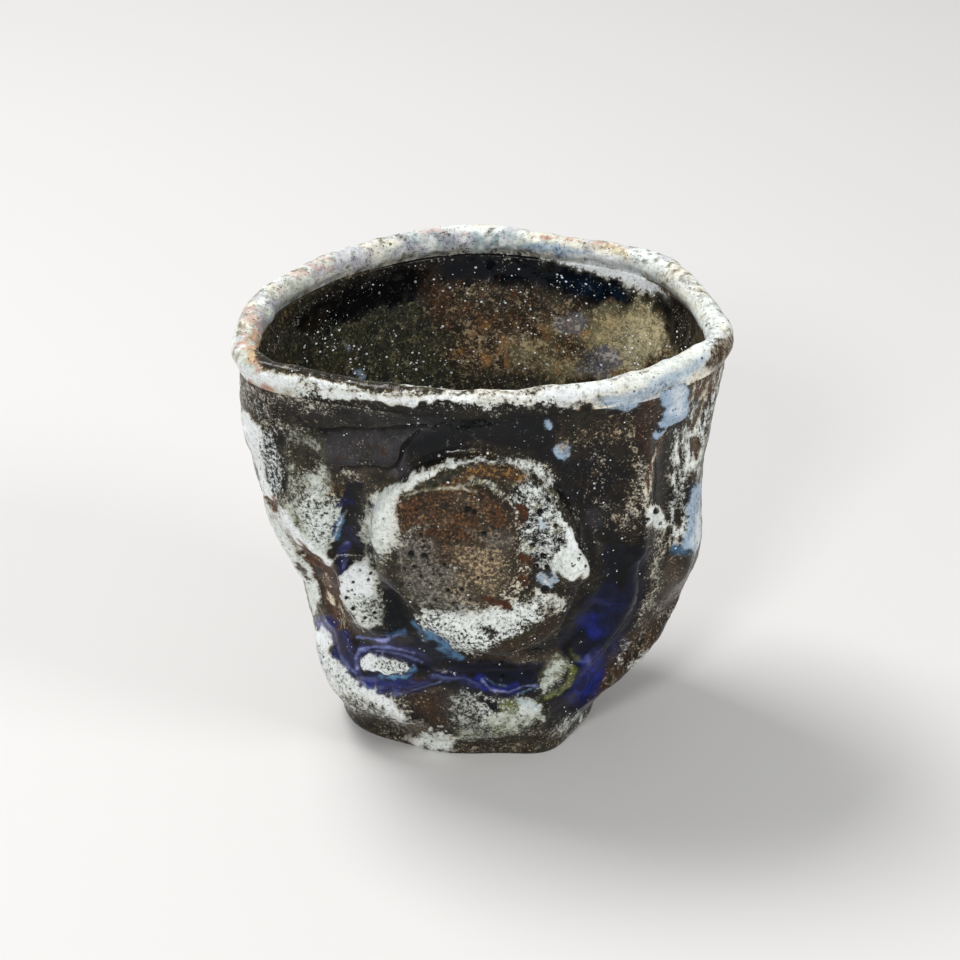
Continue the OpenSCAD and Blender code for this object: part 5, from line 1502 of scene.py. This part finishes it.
class CUP_OT_wall(bpy.types.Operator):
    """Make the wall with its melted outside and the plain core behind the inside glaze"""
    bl_idname = "cup.wall"
    bl_label = "Wall"

    def execute(self, context):
        outer, inner = outer_map(), inner_map()
        rows = np.unique(np.round(np.linspace(outer.low, len(outer.points) - 1, WALL_ROWS)).astype(int))
        sunk = blurred(spread(covered_cells() | front_cells(), -4).astype(float), 1.0, 1.5)
        skin = (outer.points - outer.outwards * (sunk * WALL_SUNK_MM)[..., None])[rows]
        count = skin.shape[1]
        crest = outer.points[-1]
        angles = np.degrees(np.arctan2(crest[:, 1], crest[:, 0])) % 360
        core = []
        for j in CORE_ROWS:
            ring = inner.base[j] - inner.normals[j] * CORE_GAP_MM
            r, z = read_round(angles, ring, np.hypot(ring[:, 0], ring[:, 1]), ring[:, 2])
            core.append(ring_points(angles, z, r[None])[0])
        verts = np.concatenate([skin.reshape(-1, 3), *core, [core[-1].mean(0)],
                                [[*skin[0, :, :2].mean(0), skin[0, 0, 2]]]])
        last = len(rows) * count
        tris = np.concatenate([fan(last + (len(core) - 1) * count, count, len(verts) - 2),
                               fan(0, count, len(verts) - 1, True)])
        plain = plain_coat("umber", "tan", (-1.5, 0.5, 0.3, 0.0), len(verts) - last)
        new_piece("body_wall_glazed", verts, grid_faces(len(rows) + len(core), count),
                  joined(coat_arrays(outer.coat, rows), plain), "stoneware_body", ("body_wall",), tris)
        return {"FINISHED"}


class CUP_OT_front(bpy.types.Operator):
    """Lay the thick glaze over the wall's front, in two fields"""
    bl_idname = "cup.front"
    bl_label = "Front glaze"

    def execute(self, context):
        keep = front_cells()
        right = outer_map().coat.u > HALF_PICTURE
        patch("front_glaze_left", "stoneware_body", keep & ~spread(right, -3))
        patch("front_glaze_right", "stoneware_body", keep & spread(right, 3))
        return {"FINISHED"}


class CUP_OT_inside(bpy.types.Operator):
    """Line the inside with its speckled glaze"""
    bl_idname = "cup.inside"
    bl_label = "Inside glaze"

    def execute(self, context):
        inner = inner_map()
        rows, cols = inner.points.shape[:2]
        back_rows = np.arange(0, rows, 6)[::-1]
        back = (inner.base - inner.normals * LINING_MM)[back_rows]
        rings = np.concatenate([inner.points, back])
        count = rings.shape[0] * cols
        tris = np.concatenate([fan(0, cols, count), fan(count - cols, cols, count + 1, True)])
        coat = coat_arrays(inner.coat)
        ends = [c[:2] for c in coat]
        new_piece("inside_glaze", np.concatenate([rings.reshape(-1, 3), [rings[0].mean(0), rings[-1].mean(0)]]),
                  grid_faces(len(rings), cols)[:, ::-1], joined(coat, coat_arrays(inner.coat, back_rows), ends),
                  "stoneware_body", (), tris)
        return {"FINISHED"}


class CUP_OT_lip(bpy.types.Operator):
    """Roll the lip round the mouth"""
    bl_idname = "cup.lip"
    bl_label = "Lip"

    def execute(self, context):
        lip = lip_map()
        rows, cols = lip.points.shape[:2]
        i = np.arange(cols)
        k = (i + 1) % cols
        start = (rows - 1) * cols
        seat = np.stack([start + i, start + k, k, i], 1)
        new_piece("lip_roll_glazed", lip.points.reshape(-1, 3), np.concatenate([grid_faces(rows, cols), seat]),
                  coat_arrays(lip.coat), "lip_glaze", ("lip_roll",))
        return {"FINISHED"}


class CUP_OT_foot(bpy.types.Operator):
    """Make the foot slab with its standing ring and shallow hollow"""
    bl_idname = "cup.foot"
    bl_label = "Foot"

    def execute(self, context):
        outer = outer_map()
        face = outer.points[:outer.low + 3]
        rows, cols = face.shape[:2]
        middle = face[0].mean(0)

        def ring(source, share, z):
            return middle * LEVEL + (source - middle) * LEVEL * share + np.array([0, 0, z])

        below = [ring(face[0], share, z) for share, z in FOOT_HOLLOW]
        above = [ring(face[-1], share, face[-1, 0, 2] - depth) for share, depth in FOOT_BURIED]
        rings = np.concatenate([np.array(below)[::-1], face, np.array(above)])
        count = len(rings) * cols
        tris = np.concatenate([fan(0, cols, count, True), fan(count - cols, cols, count + 1)])
        coat = coat_arrays(outer.coat, slice(0, rows))
        bare = plain_coat("mud", "khaki", (-0.5, 0.4, 0.0, 0.0), len(below) * cols)
        hidden = [c[:len(above) * cols + 2] for c in coat]
        new_piece("foot_slab_glazed", np.concatenate([rings.reshape(-1, 3), [rings[0].mean(0), rings[-1].mean(0)]]),
                  grid_faces(len(rings), cols), joined(bare, coat, hidden), "foot_clay", ("foot_slab",), tris)
        return {"FINISHED"}


class CUP_OT_medallion(bpy.types.Operator):
    """Lay the medallion: the pad with its ring, the dished disc and the drop of glaze"""
    bl_idname = "cup.medallion"
    bl_label = "Medallion"

    def execute(self, context):
        lay_pieces("medallion_pad", "medallion_disc", "glaze_bead")
        return {"FINISHED"}


class CUP_OT_clay(bpy.types.Operator):
    """Lay the pressed clay: fold, lobe, ridges and the roll over the foot"""
    bl_idname = "cup.clay"
    bl_label = "Pressed clay"

    def execute(self, context):
        lay_pieces("left_fold", "left_lobe", "left_rib", "foot_roll", "right_rib_front", "right_rib_side",
                   "right_rib_low")
        return {"FINISHED"}


class CUP_OT_glass(bpy.types.Operator):
    """Pool the glass in the channel, the groove and down the right"""
    bl_idname = "cup.glass"
    bl_label = "Pooled glass"

    def execute(self, context):
        lay_pieces("channel_glass", "groove_glass", "side_glass")
        return {"FINISHED"}


def speck_nodes():
    """Geometry nodes that strew small beads of glaze over a surface by its attribute named specks."""
    tree = bpy.data.node_groups.new("specks", "GeometryNodeTree")
    for label, kind in (("Geometry", "Geometry"), ("Beads per square mm", "Float"), ("Smallest", "Float"),
                        ("Largest", "Float"), ("Seed", "Int"), ("Glaze", "Material")):
        tree.interface.new_socket(label, in_out="INPUT", socket_type="NodeSocket" + kind)
    tree.interface.new_socket("Geometry", in_out="OUTPUT", socket_type="NodeSocketGeometry")
    given = node(tree, "NodeGroupInput", {}, {}).socket.node
    taken = {socket.name: Wire(tree, socket) for socket in given.outputs if socket.name}
    share = node(tree, "GeometryNodeInputNamedAttribute", {"data_type": "FLOAT"}, {"Name": "specks"}, "Attribute")
    points = node(tree, "GeometryNodeDistributePointsOnFaces", {},
                  {"Mesh": taken["Geometry"], "Seed": taken["Seed"],
                   "Density": share * taken["Beads per square mm"] * (1 / MM ** 2)}, "Points")
    chance = node(tree, "FunctionNodeRandomValue", {"data_type": "FLOAT"}, {"Seed": taken["Seed"] + 1.0}, 1)
    size = taken["Smallest"] + (taken["Largest"] - taken["Smallest"]) * (chance * chance * chance)
    squash = node(tree, "ShaderNodeCombineXYZ", {}, {"X": size, "Y": size * 0.8, "Z": size * 0.6})
    bead = node(tree, "GeometryNodeMeshIcoSphere", {}, {"Radius": 1.0, "Subdivisions": 1})
    beads = node(tree, "GeometryNodeInstanceOnPoints", {},
                 {"Points": points, "Instance": bead, "Rotation": points.beside("Rotation"), "Scale": squash})
    solid = node(tree, "GeometryNodeRealizeInstances", {}, {"Geometry": beads})
    glazed = node(tree, "GeometryNodeSetMaterial", {}, {"Geometry": solid, "Material": taken["Glaze"]})
    node(tree, "NodeGroupOutput", {}, {0: glazed})
    return tree


def strewn(name, points, faces, share, density, largest, seed):
    """White beads of glaze over a map of points in mm, as one plain mesh."""
    mesh = bpy.data.meshes.new(name + "_bed")
    mesh.from_pydata((points.reshape(-1, 3) * MM).tolist(), [], faces.tolist())
    layer = mesh.attributes.new("specks", "FLOAT", "POINT")
    layer.data.foreach_set("value", np.ascontiguousarray(share, np.float32).ravel())
    bed = bpy.data.objects.new(name + "_bed", mesh)
    bpy.context.scene.collection.objects.link(bed)
    modifier = bed.modifiers.new("specks", "NODES")
    modifier.node_group = speck_nodes()
    values = {"Beads per square mm": density, "Smallest": bpy.context.scene.cup_glaze.smallest_speck * MM,
              "Largest": largest * MM, "Seed": seed, "Glaze": material_for("white_glaze")}
    for item in modifier.node_group.interface.items_tree:
        if item.in_out == "INPUT" and item.name in values:
            modifier[item.identifier] = values[item.name]
    graph = bpy.context.evaluated_depsgraph_get()
    made = bpy.data.meshes.new_from_object(bed.evaluated_get(graph))
    bpy.data.objects.remove(bed)
    if not made.vertices:
        raise RuntimeError(f"{name} strewed nothing")
    store_coat(made, plain_coat("stone", "snow", (2.4, 0.4, 0.5, 0.0), len(made.vertices)))
    finished(name, made)


class CUP_OT_specks(bpy.types.Operator):
    """Strew the white beads of glaze over the inside and the dark outside"""
    bl_idname = "cup.specks"
    bl_label = "Specks"

    def execute(self, context):
        settings = context.scene.cup_glaze
        inner, outer = inner_map(), outer_map()
        rows, cols = inner.points.shape[:2]
        # from 0 in the middle of the floor to 1 under the lip
        climb = np.linspace(0, 1, rows)
        share = smooth_step((grain(inner.base, 3.0, 131) - 0.25) * 2) * smooth_step(grain(inner.base, 9.0, 132) * 1.6)
        share = share * smooth_step(climb * 4)[:, None] * (climb < 0.97)[:, None]
        strewn("specks_inside", inner.points, grid_faces(rows, cols)[:, ::-1], share, settings.specks,
               settings.largest_speck, 5)
        coat = outer.coat
        dark = smooth_step(-coat.cover - 0.8) * (coat.over.mean(-1) < 0.7) * (coat.under.max(-1) < 0.03)
        share = dark * smooth_step((grain(outer.base, 3.0, 133) - 0.4) * 2.5)
        share[:outer.low + 4] = 0
        strewn("specks_outside", outer.points, grid_faces(*outer.points.shape[:2]), share, settings.specks * 0.45,
               settings.largest_speck * 0.65, 9)
        return {"FINISHED"}


class CUP_OT_stage(bpy.types.Operator):
    """Set the floor, the lights and the photograph's camera"""
    bl_idname = "cup.stage"
    bl_label = "Stage"

    def execute(self, context):
        settings, scene = context.scene.cup_stage, context.scene

        def placed(name, data):
            made = bpy.data.objects.new(name, data)
            scene.collection.objects.link(made)
            return made

        mesh = bpy.data.meshes.new("floor")
        half = FLOOR_HALF
        mesh.from_pydata([(-half, -half, 0), (half, -half, 0), (half, half, 0), (-half, half, 0)], [], [(0, 1, 2, 3)])
        material = bpy.data.materials.new("floor")
        material.use_nodes = True
        feed(material.node_tree.nodes["Principled BSDF"], {"Base Color": (*settings.floor, 1), "Roughness": 0.7})
        mesh.materials.append(material)
        floor = placed("floor", mesh)

        for name, place, side, power in (("key", (-0.30, 0.22, 0.66), 0.30, settings.key_power),
                                         ("fill", (0.55, -0.30, 0.45), 0.24, settings.fill_power),
                                         ("front", (-0.22, -0.70, 0.50), 0.16, settings.fill_power * 1.5)):
            light = bpy.data.lights.new(name, "AREA")
            light.shape = "SQUARE"
            light.size = side
            light.energy = power
            lamp = placed(name, light)
            lamp.location = place
            lamp.rotation_euler = (Vector(LIGHTS_AIM) - Vector(place)).to_track_quat("-Z", "Y").to_euler()

        # the backdrop is what is seen, also in gloss; the even light is what falls on the cup
        scene.world = world = bpy.data.worlds.new("world")
        world.use_nodes = True
        tree = world.node_tree
        even, backdrop = (node(tree, "ShaderNodeBackground", {}, {"Color": colour, "Strength": strength})
                          for colour, strength in (((0.95, 0.97, 1.0, 1), settings.world),
                                                   ((0.93, 0.93, 0.93, 1), settings.backdrop)))
        ray = node(tree, "ShaderNodeLightPath", {}, {}, "Is Camera Ray")
        seen = (ray + ray.beside("Is Glossy Ray") + ray.beside("Is Transmission Ray")).clamped()
        feed(tree.nodes["World Output"],
             {"Surface": node(tree, "ShaderNodeMixShader", {}, {0: seen, 1: even, 2: backdrop})})

        camera = placed("camera", bpy.data.cameras.new("camera"))
        camera.location = Vector(CAMERA_MM) * MM
        camera.rotation_euler = (math.radians(90 - CAMERA_DOWN), 0, 0)
        camera.data.sensor_width = CAMERA_SENSOR
        camera.data.lens = CAMERA_LENS
        camera.data.clip_start = 0.01
        scene.camera = camera
        scene.view_settings.view_transform = "Standard"
        return {"FINISHED"}


class CUP_PT_panel(bpy.types.Panel):
    """Makes the cup's pieces and shows their settings"""
    bl_label = "Sake cup"
    bl_idname = "CUP_PT_panel"
    bl_space_type = "VIEW_3D"
    bl_region_type = "UI"
    bl_category = "Cup"

    def draw(self, context):
        for step in STEPS:
            self.layout.operator("cup." + step)
        for group in (context.scene.cup_shape, context.scene.cup_glaze, context.scene.cup_stage):
            box = self.layout.box()
            for key in group.bl_rna.properties.keys():
                if key not in ("rna_type", "name"):
                    box.prop(group, key)


STEPS = ("wall", "front", "inside", "lip", "foot", "medallion", "clay", "glass", "specks", "stage")
CLASSES = (CupShape, CupGlaze, CupStage, CUP_OT_wall, CUP_OT_front, CUP_OT_inside, CUP_OT_lip, CUP_OT_foot,
           CUP_OT_medallion, CUP_OT_clay, CUP_OT_glass, CUP_OT_specks, CUP_OT_stage, CUP_PT_panel)


def register():
    for cls in CLASSES:
        bpy.utils.register_class(cls)
    bpy.types.Scene.cup_shape = PointerProperty(type=CupShape)
    bpy.types.Scene.cup_glaze = PointerProperty(type=CupGlaze)
    bpy.types.Scene.cup_stage = PointerProperty(type=CupStage)


def unregister():
    del bpy.types.Scene.cup_shape, bpy.types.Scene.cup_glaze, bpy.types.Scene.cup_stage
    for cls in reversed(CLASSES):
        bpy.utils.unregister_class(cls)


def main():
    register()
    for step in STEPS:
        getattr(bpy.ops.cup, step)()


if __name__ == "__main__":
    main()
